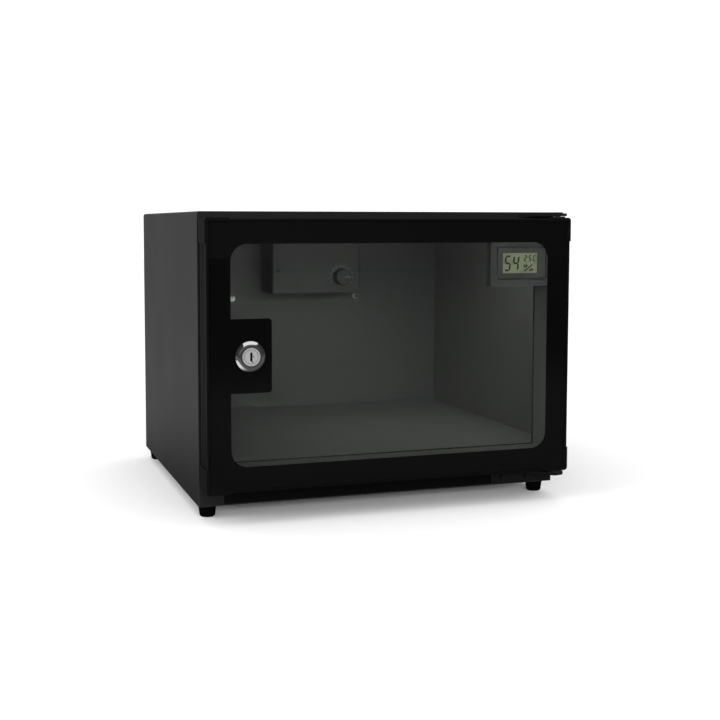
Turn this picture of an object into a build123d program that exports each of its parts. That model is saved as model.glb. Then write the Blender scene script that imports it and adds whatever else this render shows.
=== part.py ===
from build123d import *
import os

os.makedirs("parts", exist_ok=True)

# Desiccator cabinet: a small dry cabinet with a folded steel case, a framed glass door that swings on
# two pins at its right end, a cam lock, a humidity gauge behind the glass and a desiccant dryer on the
# back wall. Millimetres. X runs to the right along the front, Y runs from the door to the back, and Z
# points up. The origin is under the middle of the cabinet, on the surface that it stands on.

# ---------------------------------------------------------------- driving dimensions

# overall
width = 330.0
depth = 310.0
height = 258.0
foot_height = 11.0

# case sheet metal
sheet = 1.2
bend_radius = 2.4
back_inset = 6.0
base_upturn = 12.0
weld_gap = 0.3

# door
door_thickness = 25.0
seal_gap = 5.0
door_side_inset = 1.0
door_rise = 17.0
door_top_drop = 6.0
cap_proud = 1.0
glass_thickness = 4.0
print_thickness = 0.3
glass_gap = 0.3
glass_corner = 1.5

# door frame rails
rail_width = 20.0
rail_lip = 2.3
rail_wall = 2.0
rail_corner = 0.8
groove_width = 1.2
groove_depth = 0.6
groove_first = 8.0
groove_pitch = 5.0
groove_count = 3
spigot_length = 10.0
spigot_gap = 0.3
cap_corner = 3.0
cap_edge = 0.5

# printed border of the glass
border_cover = 0.6
window_corner = 14.0
lock_panel_reach = 34.4
lock_panel_height = 61.0
lock_panel_corner = 3.0

# door seal
seal_inset = 9.0
seal_width = 10.0
seal_clear = 0.3
seal_corner = 2.0
seal_fold_depth = 1.6
seal_fold_height = 1.2
magnet_width = 6.4
magnet_thickness = 1.8
magnet_gap = 0.2
dart_slot = 3.0
dart_gap = 0.3
dart_barb = 0.7
dart_height = 4.4
dart_end_gap = 1.0

# hinges
hinge_from_side = 8.0
hinge_from_front = 10.0
hinge_plate = 2.5
hinge_nose_radius = 8.0
hinge_pin_radius = 2.5
hinge_fit = 0.05
pin_head_radius = 4.5
pin_head_height = 1.0
bush_wall = 1.5
bush_flange = 1.0
bush_flange_radius = 6.5
bush_length = 12.0
bush_end_gap = 0.4
pin_end_gap = 1.0
hinge_washer_radius = 6.0
washer_thickness = 0.9
hinge_end_play = 0.3
bracket_length = 60.0
bracket_drop = 12.6
bracket_neck = 45.0
bracket_corner = 3.0
bracket_screw_first = 12.0
bracket_screw_pitch = 25.0
upper_plate_width = 34.0
upper_plate_reach = 26.0
upper_screw_inset = 6.0
slot_gap = 0.4

# fasteners
screw_radius = 1.5
screw_head_radius = 3.0
screw_head_height = 1.8
screw_shank_sides = 8
screw_slot_width = 0.7
screw_slot_depth = 0.8
screw_length = 7.0
hole_clear = 0.2

# feet
foot_top_radius = 8.0
foot_sole_radius = 6.6
foot_side_inset = 10.0
foot_end_inset = 14.0
foot_sole_edge = 1.0
foot_recess_radius = 4.0
foot_recess_depth = 6.0

# lock
lock_side_inset = 37.1
lock_head = 4.0
lock_bezel_radius = 12.5
lock_bezel_edge = 1.2
lock_bezel_crown = 2.6
lock_bezel_bulge = 0.3
lock_bezel_round = 0.5
lock_ring_radius = 8.8
lock_barrel_radius = 9.0
lock_barrel_flats = 16.0
lock_glass_gap = 0.4
lock_fit = 0.05
core_face_radius = 7.5
core_face_depth = 3.0
core_face_inset = 0.5
core_radius = 6.0
core_end_gap = 0.6
key_slot_width = 1.4
key_slot_height = 7.6
key_slot_depth = 12.0
nut_flats = 24.0
nut_thickness = 4.0
cam_square = 7.0
cam_fit = 0.05
cam_thickness = 2.0
cam_width = 14.0
cam_reach = 30.0
cam_gap = 0.3
cam_corner = 3.0
cam_screw_head = 5.0
cam_screw_end_gap = 1.0
strike_thickness = 1.5
strike_width = 14.0
strike_height = 40.0
strike_edge = 0.5
strike_corner = 1.5

# humidity gauge on the door
gauge_right_margin = 1.8
gauge_top_margin = 4.4
gauge_flange = 1.2
gauge_bezel = 2.0
gauge_body_width = 45.6
gauge_body_height = 26.2
gauge_body_depth = 11.0
gauge_corner = 1.2
gauge_fit = 0.2
gauge_rebate_edge = 0.3
display_width = 33.3
display_height = 17.4
display_shift_x = -1.5
display_thickness = 1.4
display_recess = 0.5
display_gap = 0.2
holder_left = 5.7
holder_right = 1.2
holder_bottom = 5.8
holder_thickness = 8.0
cell_radius = 5.8
cell_height = 5.0
cell_pitch = 14.0
cell_gap = 0.2
cover_thickness = 1.0
cover_margin = 2.6

# dryer on the back wall
dryer_left = -40.0
dryer_width = 97.0
dryer_top_drop = 10.0
dryer_height = 74.0
dryer_depth = 45.5
dryer_wall = 2.0
dryer_corner = 2.5
plate_left_margin = 39.0
plate_right_margin = 16.0
plate_bottom_margin = 13.0
plate_top_margin = 3.0
dryer_plate_sheet = 1.5
dryer_plate_corner = 3.0
dryer_edge = 1.2
dryer_screw_proud = 2.0
dryer_screw_inset = 6.5
intake_count = 5
intake_width = 36.0
intake_slot = 3.0
intake_pitch = 6.0
sensor_hole_radius = 1.6
sensor_hole_inset = 6.0
sensor_hole_height = 24.3
cover_boss_radius = 3.0
cover_screw_left = 4.4
cover_screw_right = 15.2
cover_screw_drop = 16.0
port_width = 34.0
port_height = 22.0
port_inset = 27.0
port_rise = 12.0

# flap that opens either the intake slots or the rear port
flap_width = 38.0
flap_length = 28.0
flap_thickness = 1.5
flap_seat_gap = 0.4
flap_barrel_radius = 2.8
flap_web = 3.0
flap_shaft_radius = 1.5
flap_fit = 0.05
flap_ear_width = 3.0
flap_ear_gap = 0.4
flap_ear_radius = 3.6
flap_strip_height = 1.8
motor_radius = 5.0
motor_length = 13.0
motor_engage = 3.0
motor_side_gap = 0.5

# desiccant cartridge, heater and circuit board
cartridge_width = 36.0
cartridge_depth = 34.0
cartridge_height = 24.0
cartridge_gap = 1.5
cartridge_corner = 2.0
cartridge_slot_width = 4.0
cartridge_slot_edge = 3.0
cartridge_slot_pitch = 6.5
cartridge_slot_count = 5
heater_thickness = 3.0
board_width = 36.0
board_height = 50.0
board_thickness = 1.6
board_side_gap = 2.0
board_bottom_gap = 2.0
board_post_radius = 3.0
board_screw_inset = 4.5
board_screw_length = 5.0
lead_radius = 0.8
lead_pitch = 6.0
lead_drop = 3.0

# humidity dial
dial_inset = 21.7
dial_rise = 17.7
dial_radius = 9.0
dial_length = 11.0
dial_gap = 0.6
dial_grip_count = 10
dial_grip_radius = 0.9
dial_grip_out = 0.25
dial_edge = 1.0
dial_top_radius = 8.2
dial_mark_width = 1.2
dial_mark_depth = 0.5
shaft_radius = 3.0
shaft_fit = 0.05
pot_radius = 8.2
pot_depth = 8.0
pot_bush_radius = 4.5
shaft_engage = 5.0
shaft_knob_cover = 3.0

# rear vent cover and power inlet
vent_cover_width = 84.0
vent_cover_height = 62.0
vent_cover_depth = 4.5
vent_cover_sheet = 1.0
vent_cover_corner = 3.0
vent_cover_rise = 8.0
vent_flange = 8.0
vent_slot_count = 6
vent_slot_width = 46.0
vent_slot_height = 3.0
vent_slot_pitch = 7.0
inlet_inset = 14.0
inlet_rise = 48.0
inlet_width = 26.0
inlet_height = 16.0
inlet_flange = 3.0
inlet_corner = 2.0
inlet_body_width = 22.0
inlet_body_height = 12.0
inlet_body_depth = 18.0
inlet_socket_width = 18.4
inlet_socket_height = 8.6
inlet_socket_depth = 14.0
inlet_pin_pitch = 8.6
inlet_pin_radius = 1.2
inlet_pin_length = 10.0

# ---------------------------------------------------------------- derived positions

case_left = -width / 2
case_right = width / 2
case_bottom = foot_height
case_top = height
inside_left = case_left + sheet
inside_right = case_right - sheet
inside_top = case_top - sheet

lock_front = -depth / 2
door_front = lock_front + lock_head
door_back = door_front + door_thickness
case_front = door_back + seal_gap
flange_back = case_front + sheet
case_back = depth / 2
wall_back = case_back - back_inset
wall_front = wall_back - sheet

frame_left = case_left + door_side_inset
frame_right = case_right - door_side_inset
frame_bottom = case_bottom + door_rise
frame_top = case_top - door_top_drop
rebate = glass_thickness + print_thickness
glass_back = door_front + glass_thickness
print_back = glass_back + print_thickness
rail_inner_left = frame_left + rail_width
rail_inner_right = frame_right - rail_width
rail_inner_bottom = frame_bottom + rail_width
rail_inner_top = frame_top - rail_width
frame_width = frame_right - frame_left
frame_height = frame_top - frame_bottom

floor_top = rail_inner_bottom
floor_bottom = floor_top - sheet

hinge_x = frame_right + cap_proud - hinge_from_side
hinge_y = door_front + hinge_from_front
cap_bottom = frame_bottom - cap_proud
cap_top = frame_top + cap_proud
upper_plate_top = inside_top
upper_plate_bottom = upper_plate_top - hinge_plate
lower_plate_top = cap_bottom - bush_flange - hinge_end_play - washer_thickness
lower_plate_bottom = lower_plate_top - hinge_plate

lock_x = frame_left - cap_proud + lock_side_inset
lock_height = (frame_top + frame_bottom) / 2
strike_back = flange_back + strike_thickness
cam_front = strike_back + cam_gap
cam_back = cam_front + cam_thickness
barrel_back = cam_front - core_end_gap

plate_front = wall_front - dryer_plate_sheet
dryer_front = plate_front - dryer_depth
dryer_right = dryer_left + dryer_width
dryer_top = case_top - dryer_top_drop
dryer_bottom = dryer_top - dryer_height
dryer_inner_front = dryer_front + dryer_wall
dryer_plate_left = dryer_left - plate_left_margin
dryer_plate_right = dryer_right + plate_right_margin
dryer_plate_bottom = dryer_bottom - plate_bottom_margin
dryer_plate_top = dryer_top + plate_top_margin
port_x = dryer_left + port_inset
port_z = dryer_bottom + port_rise + port_height / 2
vent_cover_x = port_x
vent_cover_z = port_z + vent_cover_rise
dial_x = dryer_right - dial_inset
dial_z = dryer_bottom + dial_rise
inlet_x = dryer_right - inlet_inset
inlet_z = dryer_bottom + inlet_rise


# ---------------------------------------------------------------- helpers

def upright(y_back):
    """Upright plane at depth y_back, drawn in X and Z as seen from the front; extruding comes forward."""
    return Plane.XZ.offset(-y_back)


def save(part, name):
    """Label a finished piece and write its STEP file."""
    part.label = name
    export_step(part, f"parts/{name}.step")


def rectangle_between(x0, z0, x1, z1, corner=0.0, mode=Mode.ADD):
    """Rectangle on the current sketch by two opposite corners, with round corners where asked."""
    with Locations(((x0 + x1) / 2, (z0 + z1) / 2)):
        if corner > 0:
            RectangleRounded(abs(x1 - x0), abs(z1 - z0), corner, mode=mode)
        else:
            Rectangle(abs(x1 - x0), abs(z1 - z0), mode=mode)


def screw_group(planes, length=screw_length, head=screw_head_radius, slotted=True):
    """Pan-head screws, one on each plane: the plane is the seat and its normal leaves the head."""
    with BuildPart() as group:
        for seat in planes:
            with BuildSketch(seat):
                Circle(head)
            extrude(amount=screw_head_height)
            with BuildSketch(seat):
                RegularPolygon(screw_radius, screw_shank_sides)
            extrude(amount=-length)
            if slotted:
                with BuildSketch(seat.offset(screw_head_height - screw_slot_depth)):
                    Rectangle(2 * head + screw_slot_width, screw_slot_width)
                extrude(amount=screw_slot_depth, mode=Mode.SUBTRACT)
    return group.part


# ---------------------------------------------------------------- case

upper_plate_right = inside_right - slot_gap
upper_plate_left = upper_plate_right - upper_plate_width
upper_plate_back = flange_back + upper_plate_reach
upper_screw_places = [
    (upper_plate_left + upper_screw_inset, upper_plate_back - upper_screw_inset),
    (upper_plate_right - upper_screw_inset, upper_plate_back - upper_screw_inset),
]
bracket_right = case_right - door_side_inset - cap_proud
bracket_left = bracket_right - bracket_length
bracket_bottom = lower_plate_top - bracket_drop
bracket_screw_z = (bracket_bottom + lower_plate_bottom) / 2
bracket_screw_xs = [bracket_left + bracket_screw_first + bracket_screw_pitch * i for i in range(2)]
foot_places = [
    (case_left + foot_side_inset, case_front + foot_end_inset),
    (case_right - foot_side_inset, case_front + foot_end_inset),
    (case_left + foot_side_inset, case_back - foot_end_inset),
    (case_right - foot_side_inset, case_back - foot_end_inset),
]

with BuildPart() as case_wrapper:
    with BuildSketch(upright(case_back)) as skin:
        rectangle_between(case_left, case_bottom, case_right, case_top)
        fillet(skin.vertices().group_by(Axis.Y)[-1], bend_radius)
        rectangle_between(inside_left, case_bottom, inside_right, inside_top, mode=Mode.SUBTRACT)
    extrude(amount=case_back - case_front)
    with BuildSketch(upright(flange_back)) as flange:
        rectangle_between(case_left, case_bottom, case_right, case_top)
        fillet(flange.vertices().group_by(Axis.Y)[-1], bend_radius)
        rectangle_between(rail_inner_left, case_bottom, rail_inner_right, rail_inner_top, mode=Mode.SUBTRACT)
    extrude(amount=sheet)
    with BuildSketch(upright(flange_back)):
        rectangle_between(upper_plate_left - slot_gap, upper_plate_bottom - slot_gap,
                          inside_right, upper_plate_top)
    extrude(amount=sheet, mode=Mode.SUBTRACT)
    with BuildSketch(Plane.XY.offset(inside_top)):
        with Locations(*upper_screw_places):
            Circle(screw_radius + hole_clear)
    extrude(amount=sheet, mode=Mode.SUBTRACT)
save(case_wrapper.part, "case_wrapper")

with BuildPart() as base_pan:
    with BuildSketch(Plane.XY.offset(case_bottom)):
        rectangle_between(inside_left, flange_back, inside_right, case_back)
        rectangle_between(rail_inner_left + weld_gap, case_front, rail_inner_right - weld_gap, flange_back)
        with Locations(*foot_places):
            Circle(screw_radius + hole_clear, mode=Mode.SUBTRACT)
    extrude(amount=sheet)
    with BuildSketch(Plane.XY.offset(case_bottom)):
        rectangle_between(inside_left, flange_back, inside_left + sheet, wall_front)
        rectangle_between(inside_right - sheet, flange_back, inside_right, wall_front)
    extrude(amount=base_upturn)
save(base_pan.part, "base_pan")

with BuildPart() as floor_panel:
    with BuildSketch(Plane.XY.offset(floor_bottom)):
        rectangle_between(inside_left, flange_back, inside_right, wall_front)
    extrude(amount=sheet)
    with BuildSketch(Plane.XY.offset(floor_bottom - base_upturn)):
        rectangle_between(inside_left, flange_back, inside_left + sheet, wall_front)
        rectangle_between(inside_right - sheet, flange_back, inside_right, wall_front)
    extrude(amount=base_upturn)
    with BuildSketch(upright(flange_back)):
        rectangle_between(rail_inner_left + weld_gap, case_bottom + sheet,
                          rail_inner_right - weld_gap, floor_top)
        with Locations(*[(x, bracket_screw_z) for x in bracket_screw_xs]):
            Circle(screw_radius + hole_clear, mode=Mode.SUBTRACT)
    extrude(amount=sheet)
save(floor_panel.part, "floor_panel")

dryer_screw_places = [
    (dryer_plate_left + dryer_screw_inset, dryer_plate_bottom + dryer_screw_inset),
    (dryer_plate_right - dryer_screw_inset, dryer_plate_bottom + dryer_screw_inset),
    (dryer_plate_left + dryer_screw_inset, dryer_plate_top - dryer_screw_inset),
    (dryer_plate_right - dryer_screw_inset, dryer_plate_top - dryer_screw_inset),
]
vent_screw_places = [
    (vent_cover_x + corner * (vent_cover_width - vent_flange) / 2,
     vent_cover_z + corner * (vent_cover_height - vent_flange) / 2)
    for corner in (-1, 1)
]
cover_screw_places = [
    (dryer_left + cover_screw_left, dryer_top - cover_screw_drop),
    (dryer_right - cover_screw_right, dryer_top - cover_screw_drop),
]

with BuildPart() as back_panel:
    with BuildSketch(upright(case_back)):
        rectangle_between(inside_left, case_bottom + sheet, inside_right, inside_top)
        rectangle_between(inside_left + sheet, case_bottom + 2 * sheet,
                          inside_right - sheet, inside_top - sheet, mode=Mode.SUBTRACT)
    extrude(amount=case_back - wall_front)
    with BuildSketch(upright(wall_back)):
        rectangle_between(inside_left, case_bottom + sheet, inside_right, inside_top)
        with Locations((port_x, port_z)):
            Rectangle(port_width, port_height, mode=Mode.SUBTRACT)
        with Locations((inlet_x, inlet_z)):
            Rectangle(inlet_body_width + 2 * hole_clear, inlet_body_height + 2 * hole_clear,
                      mode=Mode.SUBTRACT)
        with Locations(*dryer_screw_places, *vent_screw_places):
            Circle(screw_radius + hole_clear, mode=Mode.SUBTRACT)
    extrude(amount=sheet)
save(back_panel.part, "back_panel")

with BuildPart() as strike_plate:
    with BuildSketch(upright(strike_back)):
        rectangle_between(rail_inner_left - strike_edge - strike_width, lock_height - strike_height / 2,
                          rail_inner_left - strike_edge, lock_height + strike_height / 2, strike_corner)
    extrude(amount=strike_thickness)
save(strike_plate.part, "strike_plate")

for foot_name, (foot_x, foot_y) in zip(("foot_front_left", "foot_front_right", "foot_rear_left",
                                        "foot_rear_right"), foot_places):
    with BuildPart() as foot:
        with BuildSketch(Plane(origin=(foot_x, foot_y, 0), x_dir=(1, 0, 0), z_dir=(0, -1, 0))):
            with BuildLine():
                Polyline(
                    (screw_radius + hole_clear, foot_recess_depth),
                    (foot_recess_radius, foot_recess_depth),
                    (foot_recess_radius, 0),
                    (foot_sole_radius - foot_sole_edge, 0),
                    (foot_sole_radius, foot_sole_edge),
                    (foot_top_radius, foot_height),
                    (screw_radius + hole_clear, foot_height),
                    (screw_radius + hole_clear, foot_recess_depth),
                )
            make_face()
        revolve(axis=Axis((foot_x, foot_y, 0), (0, 0, 1)))
    save(foot.part, foot_name)

foot_screw_seats = [Plane(origin=(x, y, foot_recess_depth), x_dir=(1, 0, 0), z_dir=(0, 0, -1))
                    for x, y in foot_places]
save(screw_group(foot_screw_seats, slotted=False), "foot_screws")

# ---------------------------------------------------------------- hinges

with BuildPart() as upper_hinge_plate:
    with BuildSketch(Plane.XY.offset(upper_plate_bottom)):
        rectangle_between(upper_plate_left, case_front - slot_gap, upper_plate_right, case_front)
        with Locations((hinge_x, hinge_y)):
            Circle(hinge_nose_radius)
        make_hull()
        rectangle_between(upper_plate_left, case_front, upper_plate_right, upper_plate_back)
        with Locations((hinge_x, hinge_y)):
            Circle(hinge_pin_radius + hinge_fit, mode=Mode.SUBTRACT)
        with Locations(*upper_screw_places):
            Circle(screw_radius + hole_clear, mode=Mode.SUBTRACT)
    extrude(amount=hinge_plate)
save(upper_hinge_plate.part, "upper_hinge_plate")

with BuildPart() as lower_hinge_bracket:
    with BuildSketch(Plane.XY.offset(lower_plate_bottom)):
        rectangle_between(bracket_right - bracket_neck, case_front - hinge_plate, bracket_right, case_front)
        with Locations((hinge_x, hinge_y)):
            Circle(hinge_nose_radius)
        make_hull()
        with Locations((hinge_x, hinge_y)):
            Circle(hinge_pin_radius + hinge_fit, mode=Mode.SUBTRACT)
    extrude(amount=hinge_plate)
    with BuildSketch(upright(case_front)) as leg:
        rectangle_between(bracket_left, bracket_bottom, bracket_right, lower_plate_top)
        fillet(leg.vertices().group_by(Axis.Y)[0], bracket_corner)
        with Locations(*[(x, bracket_screw_z) for x in bracket_screw_xs]):
            SlotOverall(4 * screw_radius + 2 * hole_clear, 2 * (screw_radius + hole_clear),
                        mode=Mode.SUBTRACT)
    extrude(amount=hinge_plate)
save(lower_hinge_bracket.part, "lower_hinge_bracket")

pin_reach = bush_length - bush_end_gap - pin_end_gap

with BuildPart() as upper_hinge_pin:
    with BuildSketch(Plane.XY.offset(upper_plate_top)):
        with Locations((hinge_x, hinge_y)):
            Circle(pin_head_radius)
    extrude(amount=pin_head_height)
    with BuildSketch(Plane.XY.offset(upper_plate_top)):
        with Locations((hinge_x, hinge_y)):
            Circle(hinge_pin_radius)
    extrude(amount=-(upper_plate_top - cap_top + pin_reach))
save(upper_hinge_pin.part, "upper_hinge_pin")

with BuildPart() as lower_hinge_pin:
    with BuildSketch(Plane.XY.offset(lower_plate_bottom)):
        with Locations((hinge_x, hinge_y)):
            Circle(pin_head_radius)
    extrude(amount=-pin_head_height)
    with BuildSketch(Plane.XY.offset(lower_plate_bottom)):
        with Locations((hinge_x, hinge_y)):
            Circle(hinge_pin_radius)
    extrude(amount=cap_bottom + pin_reach - lower_plate_bottom)
save(lower_hinge_pin.part, "lower_hinge_pin")

with BuildPart() as hinge_washer:
    with BuildSketch(Plane.XY.offset(lower_plate_top)):
        with Locations((hinge_x, hinge_y)):
            Circle(hinge_washer_radius)
            Circle(hinge_pin_radius + hinge_fit, mode=Mode.SUBTRACT)
    extrude(amount=washer_thickness)
save(hinge_washer.part, "hinge_washer")

hinge_screw_seats = [Plane(origin=(x, y, upper_plate_bottom), x_dir=(1, 0, 0), z_dir=(0, 0, -1))
                     for x, y in upper_screw_places]
save(screw_group(hinge_screw_seats, length=hinge_plate + sheet, slotted=False), "upper_hinge_screws")

bracket_screw_seats = [Plane(origin=(x, case_front - hinge_plate, bracket_screw_z),
                             x_dir=(1, 0, 0), z_dir=(0, -1, 0)) for x in bracket_screw_xs]
save(screw_group(bracket_screw_seats), "lower_hinge_screws")

# ---------------------------------------------------------------- door frame

cap_leg = rail_width
side_rail = frame_height - 2 * cap_leg
cross_rail = frame_width - 2 * cap_leg

# each rail: the corner where its outer edge starts, the way inward, the way along it, and its length
rails = {
    "frame_left": ((frame_left, door_front, frame_bottom + cap_leg), (1, 0, 0), (0, 0, 1), side_rail),
    "frame_right": ((frame_right, door_front, frame_top - cap_leg), (-1, 0, 0), (0, 0, -1), side_rail),
    "frame_bottom": ((frame_right - cap_leg, door_front, frame_bottom), (0, 0, 1), (-1, 0, 0), cross_rail),
    "frame_top": ((frame_left + cap_leg, door_front, frame_top), (0, 0, -1), (1, 0, 0), cross_rail),
}
seal_middle = seal_inset + seal_width / 2
chamber_front = rebate + rail_wall
chamber_back = door_thickness - rail_wall

for rail_name, (start, inward, along, length) in rails.items():
    with BuildPart() as rail:
        with BuildSketch(Plane(origin=start, x_dir=inward, z_dir=along)) as section:
            with BuildLine():
                Polyline((0, 0), (rail_lip, 0), (rail_lip, rebate), (rail_width, rebate),
                         (rail_width, door_thickness), (0, door_thickness), (0, 0))
            make_face()
            fillet(section.vertices().group_by(Axis.X)[0], rail_corner)
            rectangle_between(rail_wall, chamber_front, rail_width - rail_wall, chamber_back,
                              mode=Mode.SUBTRACT)
            rectangle_between(seal_middle - dart_slot / 2, chamber_back, seal_middle + dart_slot / 2,
                              door_thickness, mode=Mode.SUBTRACT)
            with Locations(*[(0, groove_first + groove_pitch * i) for i in range(groove_count)]):
                Rectangle(2 * groove_depth, groove_width, mode=Mode.SUBTRACT)
        extrude(amount=length)
    save(rail.part, rail_name)

bush_outer = hinge_pin_radius + hinge_fit + bush_wall
spigot_out = rail_wall + spigot_gap
spigot_in = rail_width - rail_wall - spigot_gap

for cap_name, side, level in (("corner_cap_top_left", -1, 1), ("corner_cap_top_right", 1, 1),
                              ("corner_cap_bottom_left", -1, -1), ("corner_cap_bottom_right", 1, -1)):
    edge_x = frame_right if side > 0 else frame_left
    edge_z = frame_top if level > 0 else frame_bottom
    out_x = edge_x + side * cap_proud
    out_z = edge_z + level * cap_proud
    in_x = edge_x - side * cap_leg
    in_z = edge_z - level * cap_leg
    with BuildPart() as cap:
        with BuildSketch(upright(door_back)) as block:
            rectangle_between(out_x, out_z, in_x, in_z)
            fillet(block.vertices().sort_by_distance((out_x, out_z, 0))[0], cap_corner)
        extrude(amount=door_thickness)
        chamfer(cap.faces().sort_by(Axis.Y)[0].edges(), cap_edge)
        with BuildSketch(upright(print_back)):
            rectangle_between(edge_x - side * rail_lip, edge_z - level * rail_lip, in_x, in_z)
        extrude(amount=rebate, mode=Mode.SUBTRACT)
        with BuildSketch(upright(door_front + chamber_back - spigot_gap)):
            rectangle_between(in_x + side, edge_z - level * spigot_out,
                              in_x - side * spigot_length, edge_z - level * spigot_in)
            rectangle_between(edge_x - side * spigot_out, in_z + level,
                              edge_x - side * spigot_in, in_z - level * spigot_length)
        extrude(amount=chamber_back - chamber_front - 2 * spigot_gap)
        if side > 0:
            with BuildSketch(Plane.XY.offset(out_z)):
                with Locations((hinge_x, hinge_y)):
                    Circle(bush_outer + hinge_fit)
            extrude(amount=-level * bush_length, mode=Mode.SUBTRACT)
    save(cap.part, cap_name)

with BuildPart() as hinge_bushes:
    for face_z, away in ((cap_top, 1), (cap_bottom, -1)):
        with BuildSketch(Plane.XY.offset(face_z)):
            with Locations((hinge_x, hinge_y)):
                Circle(bush_flange_radius)
        extrude(amount=away * bush_flange)
        with BuildSketch(Plane.XY.offset(face_z)):
            with Locations((hinge_x, hinge_y)):
                Circle(bush_outer)
        extrude(amount=-away * (bush_length - bush_end_gap))
        with BuildSketch(Plane.XY.offset(face_z + away * bush_flange)):
            with Locations((hinge_x, hinge_y)):
                Circle(hinge_pin_radius + hinge_fit)
        extrude(amount=-away * (bush_flange + bush_length - bush_end_gap), mode=Mode.SUBTRACT)
save(hinge_bushes.part, "hinge_bushes")

# ---------------------------------------------------------------- glass, border and seal

pane_left = frame_left + rail_lip + glass_gap
pane_right = frame_right - rail_lip - glass_gap
pane_bottom = frame_bottom + rail_lip + glass_gap
pane_top = frame_top - rail_lip - glass_gap
window_left = rail_inner_left + border_cover
window_right = rail_inner_right - border_cover
window_bottom = rail_inner_bottom + border_cover
window_top = rail_inner_top - border_cover

with BuildPart() as glass_pane:
    with BuildSketch(upright(glass_back)):
        rectangle_between(pane_left, pane_bottom, pane_right, pane_top, glass_corner)
        with Locations((lock_x, lock_height)):
            Circle(lock_barrel_radius + lock_glass_gap, mode=Mode.SUBTRACT)
    extrude(amount=glass_thickness)
save(glass_pane.part, "glass_pane")

with BuildSketch() as window:
    rectangle_between(window_left, window_bottom, window_right, window_top, window_corner)
    rectangle_between(window_left - lock_panel_reach, lock_height - lock_panel_height / 2,
                      window_left + lock_panel_reach, lock_height + lock_panel_height / 2,
                      lock_panel_corner, mode=Mode.SUBTRACT)

with BuildPart() as glass_border:
    with BuildSketch(upright(print_back)):
        rectangle_between(pane_left, pane_bottom, pane_right, pane_top, glass_corner)
        add(window.sketch, mode=Mode.SUBTRACT)
        with Locations((lock_x, lock_height)):
            Circle(lock_barrel_radius + lock_glass_gap, mode=Mode.SUBTRACT)
    extrude(amount=print_thickness)
save(glass_border.part, "glass_border")

seal_depth = seal_gap - seal_clear
seal_out = (frame_left + seal_inset, frame_bottom + seal_inset,
            frame_right - seal_inset, frame_top - seal_inset)
seal_in = (seal_out[0] + seal_width, seal_out[1] + seal_width,
           seal_out[2] - seal_width, seal_out[3] - seal_width)
channel_depth = magnet_width + magnet_gap
channel_height = magnet_thickness + 2 * magnet_gap
channel_back = door_back + (seal_depth + channel_height) / 2
channel_out = (seal_in[0] - channel_depth, seal_in[1] - channel_depth,
               seal_in[2] + channel_depth, seal_in[3] + channel_depth)
dart_start = spigot_length + dart_end_gap
fold_back = door_back + (seal_depth + seal_fold_height) / 2
fold_in = (seal_out[0] + seal_fold_depth, seal_out[1] + seal_fold_depth,
           seal_out[2] - seal_fold_depth, seal_out[3] - seal_fold_depth)

with BuildPart() as door_seal:
    with BuildSketch(upright(case_front - seal_clear)):
        rectangle_between(*seal_out, seal_corner)
        rectangle_between(*seal_in, mode=Mode.SUBTRACT)
    extrude(amount=seal_depth)
    with BuildSketch(upright(fold_back)):
        rectangle_between(*seal_out)
        rectangle_between(*fold_in, mode=Mode.SUBTRACT)
    extrude(amount=seal_fold_height, mode=Mode.SUBTRACT)
    with BuildSketch(upright(channel_back)):
        rectangle_between(*channel_out)
        rectangle_between(*seal_in, mode=Mode.SUBTRACT)
    extrude(amount=channel_height, mode=Mode.SUBTRACT)
    for start, inward, along, length in rails.values():
        with BuildSketch(Plane(origin=start, x_dir=inward, z_dir=along).offset(dart_start)):
            with BuildLine():
                Polyline(
                    (seal_middle - dart_slot / 2 + dart_gap, door_thickness),
                    (seal_middle - dart_slot / 2 + dart_gap, chamber_back - dart_gap),
                    (seal_middle - dart_slot / 2 - dart_barb, chamber_back - dart_gap),
                    (seal_middle - dart_gap, door_thickness - dart_height),
                    (seal_middle + dart_gap, door_thickness - dart_height),
                    (seal_middle + dart_slot / 2 + dart_barb, chamber_back - dart_gap),
                    (seal_middle + dart_slot / 2 - dart_gap, chamber_back - dart_gap),
                    (seal_middle + dart_slot / 2 - dart_gap, door_thickness),
                    (seal_middle - dart_slot / 2 + dart_gap, door_thickness),
                )
            make_face()
        extrude(amount=length - 2 * dart_start)
save(door_seal.part, "door_seal")

magnet_back = channel_back - magnet_gap
with BuildPart() as magnet_strips:
    with BuildSketch(upright(magnet_back)):
        for low, high in ((channel_out[1] + magnet_gap, channel_out[1] + magnet_gap + magnet_width),
                          (channel_out[3] - magnet_gap - magnet_width, channel_out[3] - magnet_gap)):
            rectangle_between(channel_out[0] + magnet_gap, low, channel_out[2] - magnet_gap, high)
        for low, high in ((channel_out[0] + magnet_gap, channel_out[0] + magnet_gap + magnet_width),
                          (channel_out[2] - magnet_gap - magnet_width, channel_out[2] - magnet_gap)):
            rectangle_between(low, channel_out[1] + 2 * magnet_gap + magnet_width,
                              high, channel_out[3] - 2 * magnet_gap - magnet_width)
    extrude(amount=magnet_thickness)
save(magnet_strips.part, "magnet_strips")

# ---------------------------------------------------------------- lock

lock_axis = Axis((lock_x, 0, lock_height), (0, 1, 0))
lock_plane = Plane.YZ.offset(lock_x)
core_front = lock_front + core_face_inset
core_step = core_front + core_face_depth

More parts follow.
